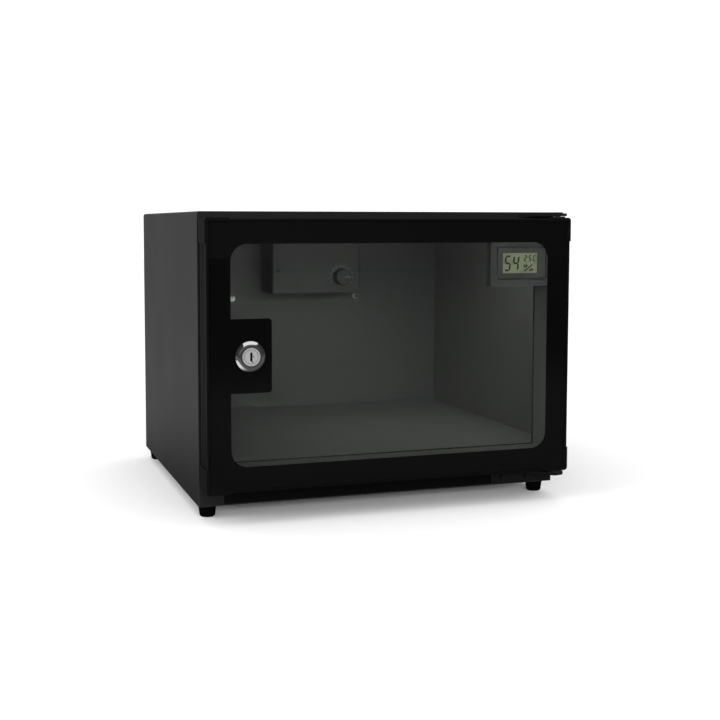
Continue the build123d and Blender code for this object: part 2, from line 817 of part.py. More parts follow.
with BuildPart() as lock_body:
    with BuildSketch(lock_plane):
        with BuildLine():
            rim = lock_height + lock_bezel_radius
            crown = (door_front - lock_bezel_crown, lock_height + lock_ring_radius)
            edge = (door_front - lock_bezel_edge, rim - lock_bezel_round)
            Polyline((lock_front, lock_height + core_face_radius + lock_fit),
                     (lock_front, lock_height + lock_ring_radius), crown)
            bulge = (door_front - lock_bezel_crown + lock_bezel_bulge, (crown[1] + edge[1]) / 2)
            ThreePointArc(crown, bulge, edge)
            Polyline(edge, (door_front - lock_bezel_edge + lock_bezel_round, rim), (door_front, rim),
                     (door_front, lock_height + lock_barrel_radius),
                     (barrel_back, lock_height + lock_barrel_radius),
                     (barrel_back, lock_height + core_radius + lock_fit),
                     (core_step, lock_height + core_radius + lock_fit),
                     (core_step, lock_height + core_face_radius + lock_fit),
                     (lock_front, lock_height + core_face_radius + lock_fit))
        make_face()
    revolve(axis=lock_axis)
    with BuildSketch(upright(barrel_back)):
        for flank in (-1, 1):
            with Locations((lock_x + flank * (lock_barrel_flats / 2 + lock_barrel_radius), lock_height)):
                Rectangle(2 * lock_barrel_radius, 2 * lock_barrel_radius)
    extrude(amount=barrel_back - print_back - nut_thickness, mode=Mode.SUBTRACT)
save(lock_body.part, "lock_body")

with BuildPart() as lock_nut:
    with BuildSketch(upright(print_back + nut_thickness)):
        with Locations((lock_x, lock_height)):
            RegularPolygon(nut_flats / 2, 6, major_radius=False)
            Circle(lock_barrel_radius + lock_fit, mode=Mode.SUBTRACT)
    extrude(amount=nut_thickness)
save(lock_nut.part, "lock_nut")

with BuildPart() as lock_core:
    with BuildSketch(lock_plane):
        with BuildLine():
            Polyline((core_front, lock_height), (core_front, lock_height + core_face_radius),
                     (core_step - lock_fit, lock_height + core_face_radius),
                     (core_step - lock_fit, lock_height + core_radius),
                     (cam_front, lock_height + core_radius), (cam_front, lock_height),
                     (core_front, lock_height))
        make_face()
    revolve(axis=lock_axis)
    with BuildSketch(upright(cam_back)):
        with Locations((lock_x, lock_height)):
            Rectangle(cam_square, cam_square)
    extrude(amount=cam_thickness)
    with BuildSketch(upright(cam_back)):
        with Locations((lock_x, lock_height)):
            Circle(screw_radius + lock_fit)
    extrude(amount=screw_length + cam_screw_end_gap, mode=Mode.SUBTRACT)
    with BuildSketch(upright(core_front + key_slot_depth)):
        with Locations((lock_x, lock_height)):
            Rectangle(key_slot_width, key_slot_height)
    extrude(amount=key_slot_depth, mode=Mode.SUBTRACT)
save(lock_core.part, "lock_core")

with BuildPart() as lock_cam:
    with BuildSketch(upright(cam_back)):
        rectangle_between(lock_x - cam_width / 2, lock_height - cam_reach, lock_x + cam_width / 2,
                          lock_height + cam_width / 2, cam_corner)
        with Locations((lock_x, lock_height)):
            Rectangle(cam_square + 2 * cam_fit, cam_square + 2 * cam_fit, mode=Mode.SUBTRACT)
    extrude(amount=cam_thickness)
save(lock_cam.part, "lock_cam")

cam_screw_seat = Plane(origin=(lock_x, cam_back, lock_height), x_dir=(1, 0, 0), z_dir=(0, 1, 0))
save(screw_group([cam_screw_seat], head=cam_screw_head), "cam_screw")

# ---------------------------------------------------------------- humidity gauge

gauge_width = gauge_body_width + 2 * gauge_flange
gauge_height = gauge_body_height + 2 * gauge_flange
gauge_x = rail_inner_right - gauge_right_margin - gauge_width / 2
gauge_z = rail_inner_top - gauge_top_margin - gauge_height / 2
gauge_left = gauge_x - gauge_width / 2
gauge_right = gauge_x + gauge_width / 2
gauge_bottom = gauge_z - gauge_height / 2
gauge_top = gauge_z + gauge_height / 2
gauge_step = print_back + gauge_bezel
gauge_back = gauge_step + gauge_body_depth
display_x = gauge_x + display_shift_x
display_front = print_back + display_recess
display_back = display_front + display_thickness
cell_places = [(gauge_x - cell_pitch / 2, gauge_z), (gauge_x + cell_pitch / 2, gauge_z)]
cover_width = gauge_body_width - 2 * cover_margin
cover_height = gauge_body_height - 2 * cover_margin
cell_back = gauge_back - cover_thickness

with BuildPart() as gauge_holder:
    with BuildSketch(upright(print_back + holder_thickness)):
        rectangle_between(gauge_left - holder_left, gauge_bottom - holder_bottom,
                          gauge_right + holder_right, rail_inner_top - glass_gap, gauge_corner)
    extrude(amount=holder_thickness)
    with BuildSketch(upright(print_back + holder_thickness)):
        with Locations((gauge_x, gauge_z)):
            Rectangle(gauge_body_width + 2 * gauge_fit, gauge_body_height + 2 * gauge_fit)
    extrude(amount=holder_thickness, mode=Mode.SUBTRACT)
    with BuildSketch(upright(gauge_step)):
        with Locations((gauge_x, gauge_z)):
            Rectangle(gauge_width + 2 * gauge_rebate_edge, gauge_height + 2 * gauge_rebate_edge)
    extrude(amount=gauge_bezel, mode=Mode.SUBTRACT)
save(gauge_holder.part, "gauge_holder")

with BuildPart() as gauge_case:
    with BuildSketch(upright(gauge_step)):
        rectangle_between(gauge_left, gauge_bottom, gauge_right, gauge_top, gauge_corner)
    extrude(amount=gauge_bezel)
    with BuildSketch(upright(gauge_back)):
        with Locations((gauge_x, gauge_z)):
            RectangleRounded(gauge_body_width, gauge_body_height, gauge_corner)
    extrude(amount=gauge_body_depth)
    with BuildSketch(upright(display_back)):
        with Locations((display_x, gauge_z)):
            Rectangle(display_width + 2 * display_gap, display_height + 2 * display_gap)
    extrude(amount=display_back - print_back, mode=Mode.SUBTRACT)
    with BuildSketch(upright(gauge_back)):
        with Locations((gauge_x, gauge_z)):
            Rectangle(cover_width + 2 * gauge_fit, cover_height + 2 * gauge_fit)
    extrude(amount=cover_thickness, mode=Mode.SUBTRACT)
    with BuildSketch(upright(cell_back)):
        with Locations(*cell_places):
            Circle(cell_radius + cell_gap)
    extrude(amount=cell_height, mode=Mode.SUBTRACT)
save(gauge_case.part, "gauge_case")

with BuildPart() as gauge_display:
    with BuildSketch(upright(display_back)):
        with Locations((display_x, gauge_z)):
            Rectangle(display_width, display_height)
    extrude(amount=display_thickness)
save(gauge_display.part, "gauge_display")

with BuildPart() as gauge_cover:
    with BuildSketch(upright(gauge_back)):
        with Locations((gauge_x, gauge_z)):
            Rectangle(cover_width, cover_height)
    extrude(amount=cover_thickness)
save(gauge_cover.part, "gauge_cover")

with BuildPart() as button_cells:
    with BuildSketch(upright(cell_back)):
        with Locations(*cell_places):
            Circle(cell_radius)
    extrude(amount=cell_height)
save(button_cells.part, "button_cells")

# ---------------------------------------------------------------- dryer housing and plate

intake_y = (dryer_front + plate_front) / 2 + dryer_wall
flap_pivot_y = plate_front - motor_radius - flap_seat_gap
flap_pivot_z = dryer_bottom + dryer_wall + motor_radius + motor_side_gap

with BuildPart() as dryer_plate:
    with BuildSketch(upright(wall_front)):
        rectangle_between(dryer_plate_left, dryer_plate_bottom, dryer_plate_right, dryer_plate_top,
                          dryer_plate_corner)
        with Locations((port_x, port_z)):
            Rectangle(port_width, port_height, mode=Mode.SUBTRACT)
        with Locations((inlet_x, inlet_z)):
            Rectangle(inlet_body_width + 2 * hole_clear, inlet_body_height + 2 * hole_clear,
                      mode=Mode.SUBTRACT)
        with Locations(*dryer_screw_places, *cover_screw_places):
            Circle(screw_radius + hole_clear, mode=Mode.SUBTRACT)
    extrude(amount=dryer_plate_sheet)
save(dryer_plate.part, "dryer_plate")

pot_back = dryer_inner_front + pot_depth
board_right = dryer_right - dryer_wall - board_side_gap
board_left = board_right - board_width
board_bottom = dryer_bottom + dryer_wall + board_bottom_gap
board_top = board_bottom + board_height
board_back = pot_back + board_thickness
board_screw_places = [(board_left + board_screw_inset, board_top - board_screw_inset),
                      (board_right - board_screw_inset, board_bottom + board_screw_inset)]

with BuildPart() as dryer_housing:
    with BuildSketch(upright(plate_front)):
        rectangle_between(dryer_left, dryer_bottom, dryer_right, dryer_top, dryer_corner)
    extrude(amount=dryer_depth)
    chamfer(dryer_housing.faces().sort_by(Axis.Y)[0].edges(), dryer_edge)
    with BuildSketch(upright(plate_front)):
        rectangle_between(dryer_left + dryer_wall, dryer_bottom + dryer_wall,
                          dryer_right - dryer_wall, dryer_top - dryer_wall)
    extrude(amount=dryer_depth - dryer_wall, mode=Mode.SUBTRACT)
    with BuildSketch(upright(plate_front)):
        with Locations(*cover_screw_places):
            Circle(cover_boss_radius)
    extrude(amount=dryer_depth - dryer_wall)
    with BuildSketch(upright(pot_back)):
        with Locations(*board_screw_places):
            Circle(board_post_radius)
    extrude(amount=pot_depth)
    with BuildSketch(upright(pot_back)):
        with Locations(*board_screw_places):
            Circle(screw_radius + hole_clear)
    extrude(amount=board_screw_length, mode=Mode.SUBTRACT)
    with BuildSketch(upright(plate_front)):
        with Locations(*cover_screw_places):
            Circle(screw_radius + hole_clear)
        with Locations((dial_x, dial_z)):
            Circle(pot_bush_radius + hole_clear)
        with Locations((dryer_left + sensor_hole_inset, dryer_bottom + sensor_hole_height)):
            Circle(sensor_hole_radius)
    extrude(amount=dryer_depth, mode=Mode.SUBTRACT)
    with BuildSketch(Plane.XY.offset(dryer_bottom)):
        with Locations((port_x, intake_y)):
            with GridLocations(0, intake_pitch, 1, intake_count):
                Rectangle(intake_width, intake_slot)
    extrude(amount=dryer_wall, mode=Mode.SUBTRACT)
save(dryer_housing.part, "dryer_housing")

dryer_screw_seats = [Plane(origin=(x, plate_front, z), x_dir=(1, 0, 0), z_dir=(0, -1, 0))
                     for x, z in dryer_screw_places]
save(screw_group(dryer_screw_seats, length=dryer_plate_sheet + sheet + dryer_screw_proud), "dryer_screws")

cover_screw_seats = [Plane(origin=(x, dryer_front, z), x_dir=(1, 0, 0), z_dir=(0, -1, 0))
                     for x, z in cover_screw_places]
save(screw_group(cover_screw_seats, length=dryer_depth + dryer_plate_sheet), "cover_screws")

# ---------------------------------------------------------------- desiccant, heater and electronics

cartridge_bottom = flap_pivot_z + flap_length + cartridge_gap
cartridge_top = cartridge_bottom + cartridge_height
cartridge_y = plate_front - cartridge_depth / 2

with BuildPart() as desiccant_cartridge:
    with BuildSketch(Plane.XY.offset(cartridge_bottom)):
        with Locations((port_x, cartridge_y)):
            RectangleRounded(cartridge_width, cartridge_depth, cartridge_corner)
            with GridLocations(cartridge_slot_pitch, 0, cartridge_slot_count, 1):
                Rectangle(cartridge_slot_width, cartridge_depth - 2 * cartridge_slot_edge,
                          mode=Mode.SUBTRACT)
    extrude(amount=cartridge_height)
save(desiccant_cartridge.part, "desiccant_cartridge")

with BuildPart() as heater_plate:
    with BuildSketch(Plane.XY.offset(cartridge_top)):
        with Locations((port_x, cartridge_y)):
            RectangleRounded(cartridge_width, cartridge_depth, cartridge_corner)
    extrude(amount=heater_thickness)
save(heater_plate.part, "heater_plate")

with BuildPart() as control_board:
    with BuildSketch(upright(board_back)):
        rectangle_between(board_left, board_bottom, board_right, board_top)
        with Locations(*board_screw_places):
            Circle(screw_radius + hole_clear, mode=Mode.SUBTRACT)
    extrude(amount=board_thickness)
save(control_board.part, "control_board")

board_screw_seats = [Plane(origin=(x, board_back, z), x_dir=(1, 0, 0), z_dir=(0, 1, 0))
                     for x, z in board_screw_places]
save(screw_group(board_screw_seats, length=board_screw_length, slotted=False), "board_screws")

with BuildPart() as potentiometer:
    with BuildSketch(upright(pot_back)):
        with Locations((dial_x, dial_z)):
            Circle(pot_radius)
    extrude(amount=pot_depth)
    with BuildSketch(upright(dryer_inner_front)):
        with Locations((dial_x, dial_z)):
            Circle(pot_bush_radius)
    extrude(amount=dryer_wall)
    with BuildSketch(upright(dryer_inner_front + shaft_engage)):
        with Locations((dial_x, dial_z)):
            Circle(shaft_radius + shaft_fit)
    extrude(amount=dryer_wall + shaft_engage, mode=Mode.SUBTRACT)
save(potentiometer.part, "potentiometer")

dial_back = dryer_front - dial_gap
dial_front = dial_back - dial_length

with BuildPart() as dial_knob:
    with BuildSketch(upright(dial_back)):
        with Locations((dial_x, dial_z)):
            Circle(dial_radius)
    with BuildSketch(upright(dial_front)):
        with Locations((dial_x, dial_z)):
            Circle(dial_top_radius)
    loft()
    chamfer(dial_knob.faces().sort_by(Axis.Y)[0].edges(), dial_edge)
    with BuildSketch(upright(dial_back)):
        with Locations((dial_x, dial_z)):
            with PolarLocations(dial_radius + dial_grip_out, dial_grip_count):
                Circle(dial_grip_radius)
    extrude(amount=dial_length, mode=Mode.SUBTRACT)
    with BuildSketch(upright(dial_front + dial_mark_depth)):
        with Locations((dial_x + dial_top_radius / 2, dial_z)):
            Rectangle(dial_top_radius, dial_mark_width)
    extrude(amount=dial_mark_depth, mode=Mode.SUBTRACT)
    with BuildSketch(upright(dial_back)):
        with Locations((dial_x, dial_z)):
            Circle(shaft_radius + shaft_fit)
    extrude(amount=dial_length - shaft_knob_cover, mode=Mode.SUBTRACT)
save(dial_knob.part, "dial_knob")

with BuildPart() as dial_shaft:
    with BuildSketch(upright(dryer_inner_front + shaft_engage - shaft_fit)):
        with Locations((dial_x, dial_z)):
            Circle(shaft_radius)
    extrude(amount=dryer_inner_front + shaft_engage - shaft_fit - dial_front - shaft_knob_cover)
save(dial_shaft.part, "dial_shaft")

# ---------------------------------------------------------------- air flap

flap_left = port_x - flap_width / 2
flap_right = port_x + flap_width / 2
ear_left = flap_left - flap_ear_gap - flap_ear_width
ear_right = flap_right + flap_ear_gap + flap_ear_width
pivot_axis = (flap_pivot_y, flap_pivot_z)

with BuildPart() as flap_bracket:
    for ear_x in (ear_left, ear_right - flap_ear_width):
        with BuildSketch(Plane.YZ.offset(ear_x)):
            with Locations(pivot_axis):
                Circle(flap_ear_radius)
            rectangle_between(plate_front - dryer_plate_sheet, flap_pivot_z - flap_ear_radius,
                              plate_front, flap_pivot_z + flap_ear_radius)
            make_hull()
            with Locations(pivot_axis):
                Circle(flap_shaft_radius + flap_fit, mode=Mode.SUBTRACT)
        extrude(amount=flap_ear_width)
    with BuildSketch(Plane.XY.offset(flap_pivot_z - flap_ear_radius)):
        rectangle_between(ear_left + flap_ear_width / 2, plate_front - dryer_plate_sheet,
                          ear_right - flap_ear_width / 2, plate_front)
    extrude(amount=flap_strip_height)
save(flap_bracket.part, "flap_bracket")

with BuildPart() as air_flap:
    with BuildSketch(Plane.YZ.offset(flap_left)):
        with Locations(pivot_axis):
            Circle(flap_barrel_radius)
        rectangle_between(plate_front - flap_seat_gap - flap_thickness, flap_pivot_z,
                          plate_front - flap_seat_gap, flap_pivot_z + flap_web)
        make_hull()
        rectangle_between(plate_front - flap_seat_gap - flap_thickness, flap_pivot_z,
                          plate_front - flap_seat_gap, flap_pivot_z + flap_length)
        with Locations(pivot_axis):
            Circle(flap_shaft_radius + flap_fit, mode=Mode.SUBTRACT)
    extrude(amount=flap_width)
save(air_flap.part, "air_flap")

with BuildPart() as flap_shaft:
    with BuildSketch(Plane.YZ.offset(ear_left)):
        with Locations(pivot_axis):
            Circle(flap_shaft_radius)
    extrude(amount=ear_right + motor_engage - ear_left)
save(flap_shaft.part, "flap_shaft")

with BuildPart() as flap_motor:
    with BuildSketch(Plane.YZ.offset(ear_right)):
        with Locations(pivot_axis):
            Circle(motor_radius)
    extrude(amount=motor_length)
    with BuildSketch(Plane.YZ.offset(ear_right)):
        with Locations(pivot_axis):
            Circle(flap_shaft_radius + flap_fit)
    extrude(amount=motor_engage + motor_side_gap, mode=Mode.SUBTRACT)
save(flap_motor.part, "flap_motor")

# ---------------------------------------------------------------- rear vent cover and power inlet

vent_raised_width = vent_cover_width - 2 * vent_flange
vent_raised_height = vent_cover_height - 2 * vent_flange

with BuildPart() as rear_vent_cover:
    with BuildSketch(upright(wall_back + vent_cover_sheet)):
        with Locations((vent_cover_x, vent_cover_z)):
            RectangleRounded(vent_cover_width, vent_cover_height, vent_cover_corner)
    extrude(amount=vent_cover_sheet)
    with BuildSketch(upright(wall_back + vent_cover_depth)):
        with Locations((vent_cover_x, vent_cover_z)):
            RectangleRounded(vent_raised_width, vent_raised_height, vent_cover_corner)
    extrude(amount=vent_cover_depth)
    with BuildSketch(upright(wall_back + vent_cover_depth - vent_cover_sheet)):
        with Locations((vent_cover_x, vent_cover_z)):
            RectangleRounded(vent_raised_width - 2 * vent_cover_sheet,
                             vent_raised_height - 2 * vent_cover_sheet,
                             vent_cover_corner - vent_cover_sheet)
    extrude(amount=vent_cover_depth - vent_cover_sheet, mode=Mode.SUBTRACT)
    with BuildSketch(upright(wall_back + vent_cover_depth)):
        with Locations((vent_cover_x, vent_cover_z)):
            with GridLocations(0, vent_slot_pitch, 1, vent_slot_count):
                Rectangle(vent_slot_width, vent_slot_height)
    extrude(amount=vent_cover_sheet, mode=Mode.SUBTRACT)
    with BuildSketch(upright(wall_back + vent_cover_sheet)):
        with Locations(*vent_screw_places):
            Circle(screw_radius + hole_clear)
    extrude(amount=vent_cover_sheet, mode=Mode.SUBTRACT)
save(rear_vent_cover.part, "rear_vent_cover")

vent_screw_seats = [Plane(origin=(x, wall_back + vent_cover_sheet, z), x_dir=(1, 0, 0), z_dir=(0, 1, 0))
                    for x, z in vent_screw_places]
save(screw_group(vent_screw_seats, length=vent_cover_sheet + sheet), "vent_screws")

inlet_back = wall_back + inlet_flange
inlet_front = wall_back - inlet_body_depth

with BuildPart() as power_inlet:
    with BuildSketch(upright(inlet_back)):
        with Locations((inlet_x, inlet_z)):
            RectangleRounded(inlet_width, inlet_height, inlet_corner)
    extrude(amount=inlet_flange)
    with BuildSketch(upright(wall_back)):
        with Locations((inlet_x, inlet_z)):
            Rectangle(inlet_body_width, inlet_body_height)
    extrude(amount=inlet_body_depth)
    with BuildSketch(upright(inlet_back)):
        with Locations((inlet_x, inlet_z)):
            SlotOverall(inlet_socket_width, inlet_socket_height)
    extrude(amount=inlet_socket_depth, mode=Mode.SUBTRACT)
    with BuildSketch(upright(inlet_back - inlet_socket_depth)):
        with Locations((inlet_x, inlet_z)):
            with GridLocations(inlet_pin_pitch, 0, 2, 1):
                Circle(inlet_pin_radius)
    extrude(amount=inlet_body_depth + inlet_flange - inlet_socket_depth, mode=Mode.SUBTRACT)
save(power_inlet.part, "power_inlet")

with BuildPart() as inlet_pins:
    with BuildSketch(upright(inlet_back - inlet_socket_depth + inlet_pin_length)):
        with Locations((inlet_x, inlet_z)):
            with GridLocations(inlet_pin_pitch, 0, 2, 1):
                Circle(inlet_pin_radius)
    extrude(amount=inlet_pin_length + inlet_back - inlet_socket_depth - inlet_front)
save(inlet_pins.part, "inlet_pins")

with BuildPart() as power_leads:
    with BuildSketch(upright(inlet_front)):
        with Locations((inlet_x, inlet_z - lead_drop)):
            with GridLocations(lead_pitch, 0, 2, 1):
                Circle(lead_radius)
    extrude(amount=inlet_front - board_back)
save(power_leads.part, "power_leads")
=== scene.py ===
"""Looks of a small desiccator cabinet: finishes, printed marks, display figures, door seal and studio."""

import logging
import math
from dataclasses import dataclass, field
from enum import Enum

import bpy
from mathutils import Matrix, Vector


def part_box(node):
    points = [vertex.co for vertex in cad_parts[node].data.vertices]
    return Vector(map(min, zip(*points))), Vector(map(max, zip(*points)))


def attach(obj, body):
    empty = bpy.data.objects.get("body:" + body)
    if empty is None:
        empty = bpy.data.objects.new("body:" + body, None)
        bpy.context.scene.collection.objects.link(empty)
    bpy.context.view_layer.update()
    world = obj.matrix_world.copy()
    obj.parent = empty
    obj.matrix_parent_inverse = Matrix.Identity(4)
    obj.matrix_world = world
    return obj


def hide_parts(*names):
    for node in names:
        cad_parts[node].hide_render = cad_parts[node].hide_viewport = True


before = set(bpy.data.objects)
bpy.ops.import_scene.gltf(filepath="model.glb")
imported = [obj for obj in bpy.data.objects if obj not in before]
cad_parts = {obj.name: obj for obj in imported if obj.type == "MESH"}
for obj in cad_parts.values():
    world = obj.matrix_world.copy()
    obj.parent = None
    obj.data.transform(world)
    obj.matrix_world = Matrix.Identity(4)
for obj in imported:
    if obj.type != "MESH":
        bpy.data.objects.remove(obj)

log = logging.getLogger("cabinet")

Color = tuple[float, float, float]
Node = bpy.types.Node
Object = bpy.types.Object
Socket = bpy.types.NodeSocket
Tree = bpy.types.NodeTree
Value = Socket | float
MM = 0.001


# ---------------------------------------------------------------- node tools


class Bench:
    """Adds nodes to one node tree and joins their sockets."""

    def __init__(self, tree: Tree) -> None:
        """Keeps the tree that the nodes go into."""
        self.tree = tree

    def put(self, socket: Socket, value: object) -> None:
        """Joins a socket to another one, or gives it a plain value.

        Args:
            socket: The input to fill.
            value: An output socket to join, or a number, colour or vector.
        """
        if isinstance(value, Socket):
            self.tree.links.new(value, socket)
        else:
            socket.default_value = value

    def node(self, kind: str, inputs: dict[str | int, object] | None = None, **settings: object) -> Node:
        """Adds one node.

        Args:
            kind: The node's type name.
            inputs: Values or sockets by input name or number.
            settings: Properties of the node itself.

        Returns:
            The new node.
        """
        node = self.tree.nodes.new(kind)
        for name, value in settings.items():
            setattr(node, name, value)
        for name, value in (inputs or {}).items():
            self.put(node.inputs[name], value)
        return node

    def math(self, operation: str, *values: Value) -> Socket:
        """Adds a Math node.

        Args:
            operation: The node's operation.
            values: Its inputs in order.

        Returns:
            Its output.
        """
        return self.node("ShaderNodeMath", dict(enumerate(values)), operation=operation).outputs[0]

    def vector(self, operation: str, *values: object) -> Socket:
        """Adds a Vector Math node.

        Args:
            operation: The node's operation.
            values: Its inputs in order.

        Returns:
            Its vector output.
        """
        return self.node("ShaderNodeVectorMath", dict(enumerate(values)), operation=operation).outputs[0]

    def blend(self, mask: Value, first: object, second: object) -> Socket:
        """Mixes two colours.

        Args:
            mask: 0 gives the first colour and 1 the second.
            first: The first colour.
            second: The second colour.

        Returns:
            The mixed colour.
        """
        mixer = self.node("ShaderNodeMix", {0: mask}, data_type="RGBA")
        self.put(mixer.inputs[6], first)
        self.put(mixer.inputs[7], second)
        return mixer.outputs[2]

    def spread(self, value: Value, low: float, high: float, to_low: float, to_high: float) -> Socket:
        """Maps a value smoothly from one range to another.

        Args:
            value: The value to map.
            low: Where the first range starts.
            high: Where the first range ends.
            to_low: What low becomes.
            to_high: What high becomes.

        Returns:
            The mapped value.
        """
        inputs = {"Value": value, "From Min": low, "From Max": high, "To Min": to_low, "To Max": to_high}
        return self.node("ShaderNodeMapRange", inputs, interpolation_type="SMOOTHSTEP").outputs["Result"]

    def place(self) -> Socket:
        """Gives the point's own place on the piece, in metres."""
        return self.node("ShaderNodeTexCoord").outputs["Object"]

    def noise(self, where: Socket, scale: Value, detail: float = 3.0) -> Socket:
        """Adds a noise texture.

        Args:
            where: Its coordinates.
            scale: Cells to the metre.
            detail: How many finer layers it has.

        Returns:
            The noise value.
        """
        inputs = {"Vector": where, "Scale": scale, "Detail": detail, "Roughness": 0.55}
        return self.node("ShaderNodeTexNoise", inputs).outputs["Fac"]


def blank(name: str) -> tuple[bpy.types.Material, Bench]:
    """Makes a new material.

    Args:
        name: The material's name.

    Returns:
        The material and a bench for its nodes.
    """
    material = bpy.data.materials.new(name)
    material.use_nodes = True
    return material, Bench(material.node_tree)


class Effect(Enum):
    """The shared effects, each one a node group that is built once."""

    GRAIN = "surface grain"
    WEAR = "edge wear"
    DUST = "settled dust"
    BRUSH = "brushed lines"
    SMUDGE = "hand smudges"
    CHAMBER = "inside the case"


class EffectShelf:
    """Builds each shared effect once and places it in the materials that use it."""

    def __init__(self) -> None:
        """Starts with no group built."""
        self.groups: dict[Effect, Tree] = {}

    def place(self, bench: Bench, effect: Effect, **values: object) -> Node:
        """Puts an effect into a material.

        Args:
            bench: The material's bench.
            effect: Which effect.
            values: Its inputs by name, with _ for a space.

        Returns:
            The group node.
        """
        if effect not in self.groups:
            self.groups[effect] = self.build(effect)
        node = bench.node("ShaderNodeGroup", node_tree=self.groups[effect])
        for name, value in values.items():
            bench.put(node.inputs[name.replace("_", " ")], value)
        return node

    def build(self, effect: Effect) -> Tree:
        """Builds one effect's group.

        Args:
            effect: Which effect.

        Returns:
            The finished group.
        """
        makers = {Effect.GRAIN: self.grain, Effect.WEAR: self.wear_and_painted_light, Effect.DUST: self.dust,
                  Effect.BRUSH: self.brush, Effect.SMUDGE: self.smudge, Effect.CHAMBER: self.chamber}
        tree = bpy.data.node_groups.new(effect.value, "ShaderNodeTree")
        makers[effect](tree)
        return tree

    @staticmethod
    def sockets(tree: Tree, inputs: dict[str, object], outputs: tuple[str, ...]) -> tuple[Bench, Node, Node]:
        """Gives a group its named inputs and outputs.

        Args:
            tree: The group.
            inputs: Each input's name and first value, a number or a vector.
            outputs: The names of its number outputs.

        Returns:
            A bench for the group, its input node and its output node.
        """
        for name, value in inputs.items():
            kind = "NodeSocketVector" if isinstance(value, tuple) else "NodeSocketFloat"
            socket = tree.interface.new_socket(name=name, in_out="INPUT", socket_type=kind)
            socket.default_value = value
        for name in outputs:
            tree.interface.new_socket(name=name, in_out="OUTPUT", socket_type="NodeSocketFloat")
        bench = Bench(tree)
        return bench, bench.node("NodeGroupInput"), bench.node("NodeGroupOutput")

    def grain(self, tree: Tree) -> None:
        """Fine skin texture and slow unevenness.

        Args:
            tree: The group to fill.
        """
        bench, given, result = self.sockets(tree, {"Scale": 900.0, "Slow Scale": 14.0}, ("Fine", "Slow"))
        where = bench.place()
        fine = bench.noise(where, given.outputs["Scale"], 2.0)
        slow = bench.noise(where, given.outputs["Slow Scale"], 4.0)
        bench.put(result.inputs["Fine"], fine)
        bench.put(result.inputs["Slow"], bench.spread(slow, 0.3, 0.7, 0.0, 1.0))

    def wear_and_painted_light(self, tree: Tree) -> None:
        """A ragged band along the edges of a box-shaped piece.

        Args:
            tree: The group to fill.
        """
        inputs = {"Centre": (0.0, 0.0, 0.0), "Half Size": (0.1, 0.1, 0.1), "Width": 0.001, "Ragged": 0.5}
        bench, given, result = self.sockets(tree, inputs, ("Mask",))
        where = bench.place()
        out = bench.vector("ABSOLUTE", bench.vector("SUBTRACT", where, given.outputs["Centre"]))
        split = bench.node("ShaderNodeSeparateXYZ", {0: bench.vector("SUBTRACT", given.outputs["Half Size"], out)})
        x, y, z = split.outputs
        low = bench.math("MINIMUM", x, y)
        high = bench.math("MAXIMUM", x, y)
        second = bench.math("MAXIMUM", low, bench.math("MINIMUM", high, z))
        rough_edge = bench.math("MULTIPLY", bench.noise(where, 160.0, 4.0), given.outputs["Ragged"])
        reach = bench.math("MULTIPLY", given.outputs["Width"], bench.math("SUBTRACT", 1.0, rough_edge))
        ratio = bench.math("DIVIDE", second, reach)
        bench.put(result.inputs["Mask"], bench.spread(ratio, 0.2, 1.0, 1.0, 0.0))

    def chamber(self, tree: Tree) -> None:
        """Tells the surfaces inside a box from those outside it.

        Args:
            tree: The group to fill.
        """
        bench, given, result = self.sockets(tree, {"Centre": (0.0, 0.0, 0.0), "Half Size": (0.1, 0.1, 0.1)}, ("Mask",))
        out = bench.vector("ABSOLUTE", bench.vector("SUBTRACT", bench.place(), given.outputs["Centre"]))
        split = bench.node("ShaderNodeSeparateXYZ", {0: bench.vector("SUBTRACT", given.outputs["Half Size"], out)})
        x, y, z = split.outputs
        least = bench.math("MINIMUM", bench.math("MINIMUM", x, y), z)
        bench.put(result.inputs["Mask"], bench.math("GREATER_THAN", least, 0.0))

    def dust(self, tree: Tree) -> None:
        """Light dust on faces that look up.

        Args:
            tree: The group to fill.
        """
        bench, given, result = self.sockets(tree, {"Amount": 0.2}, ("Mask",))
        up = bench.node("ShaderNodeSeparateXYZ", {0: bench.node("ShaderNodeNewGeometry").outputs["Normal"]})
        facing = bench.spread(up.outputs["Z"], 0.5, 0.98, 0.0, 1.0)
        cloud = bench.spread(bench.noise(bench.place(), 60.0, 5.0), 0.35, 0.75, 0.25, 1.0)
        mask = bench.math("MULTIPLY", facing, bench.math("MULTIPLY", cloud, given.outputs["Amount"]))
        bench.put(result.inputs["Mask"], mask)

    def brush(self, tree: Tree) -> None:
        """Fine lines that run one way over metal.

        Args:
            tree: The group to fill.
        """
        bench, given, result = self.sockets(tree, {"Across": (2200.0, 40.0, 2200.0)}, ("Lines",))
        where = bench.vector("MULTIPLY", bench.place(), given.outputs["Across"])
        bench.put(result.inputs["Lines"], bench.noise(where, 1.0, 2.0))

    def smudge(self, tree: Tree) -> None:
        """Faint patches left by hands and cloths.

        Args:
            tree: The group to fill.
        """
        bench, given, result = self.sockets(tree, {"Scale": 22.0}, ("Mask",))
        cloud = bench.noise(bench.place(), given.outputs["Scale"], 5.0)
        bench.put(result.inputs["Mask"], bench.spread(cloud, 0.45, 0.75, 0.0, 1.0))


shelf = EffectShelf()


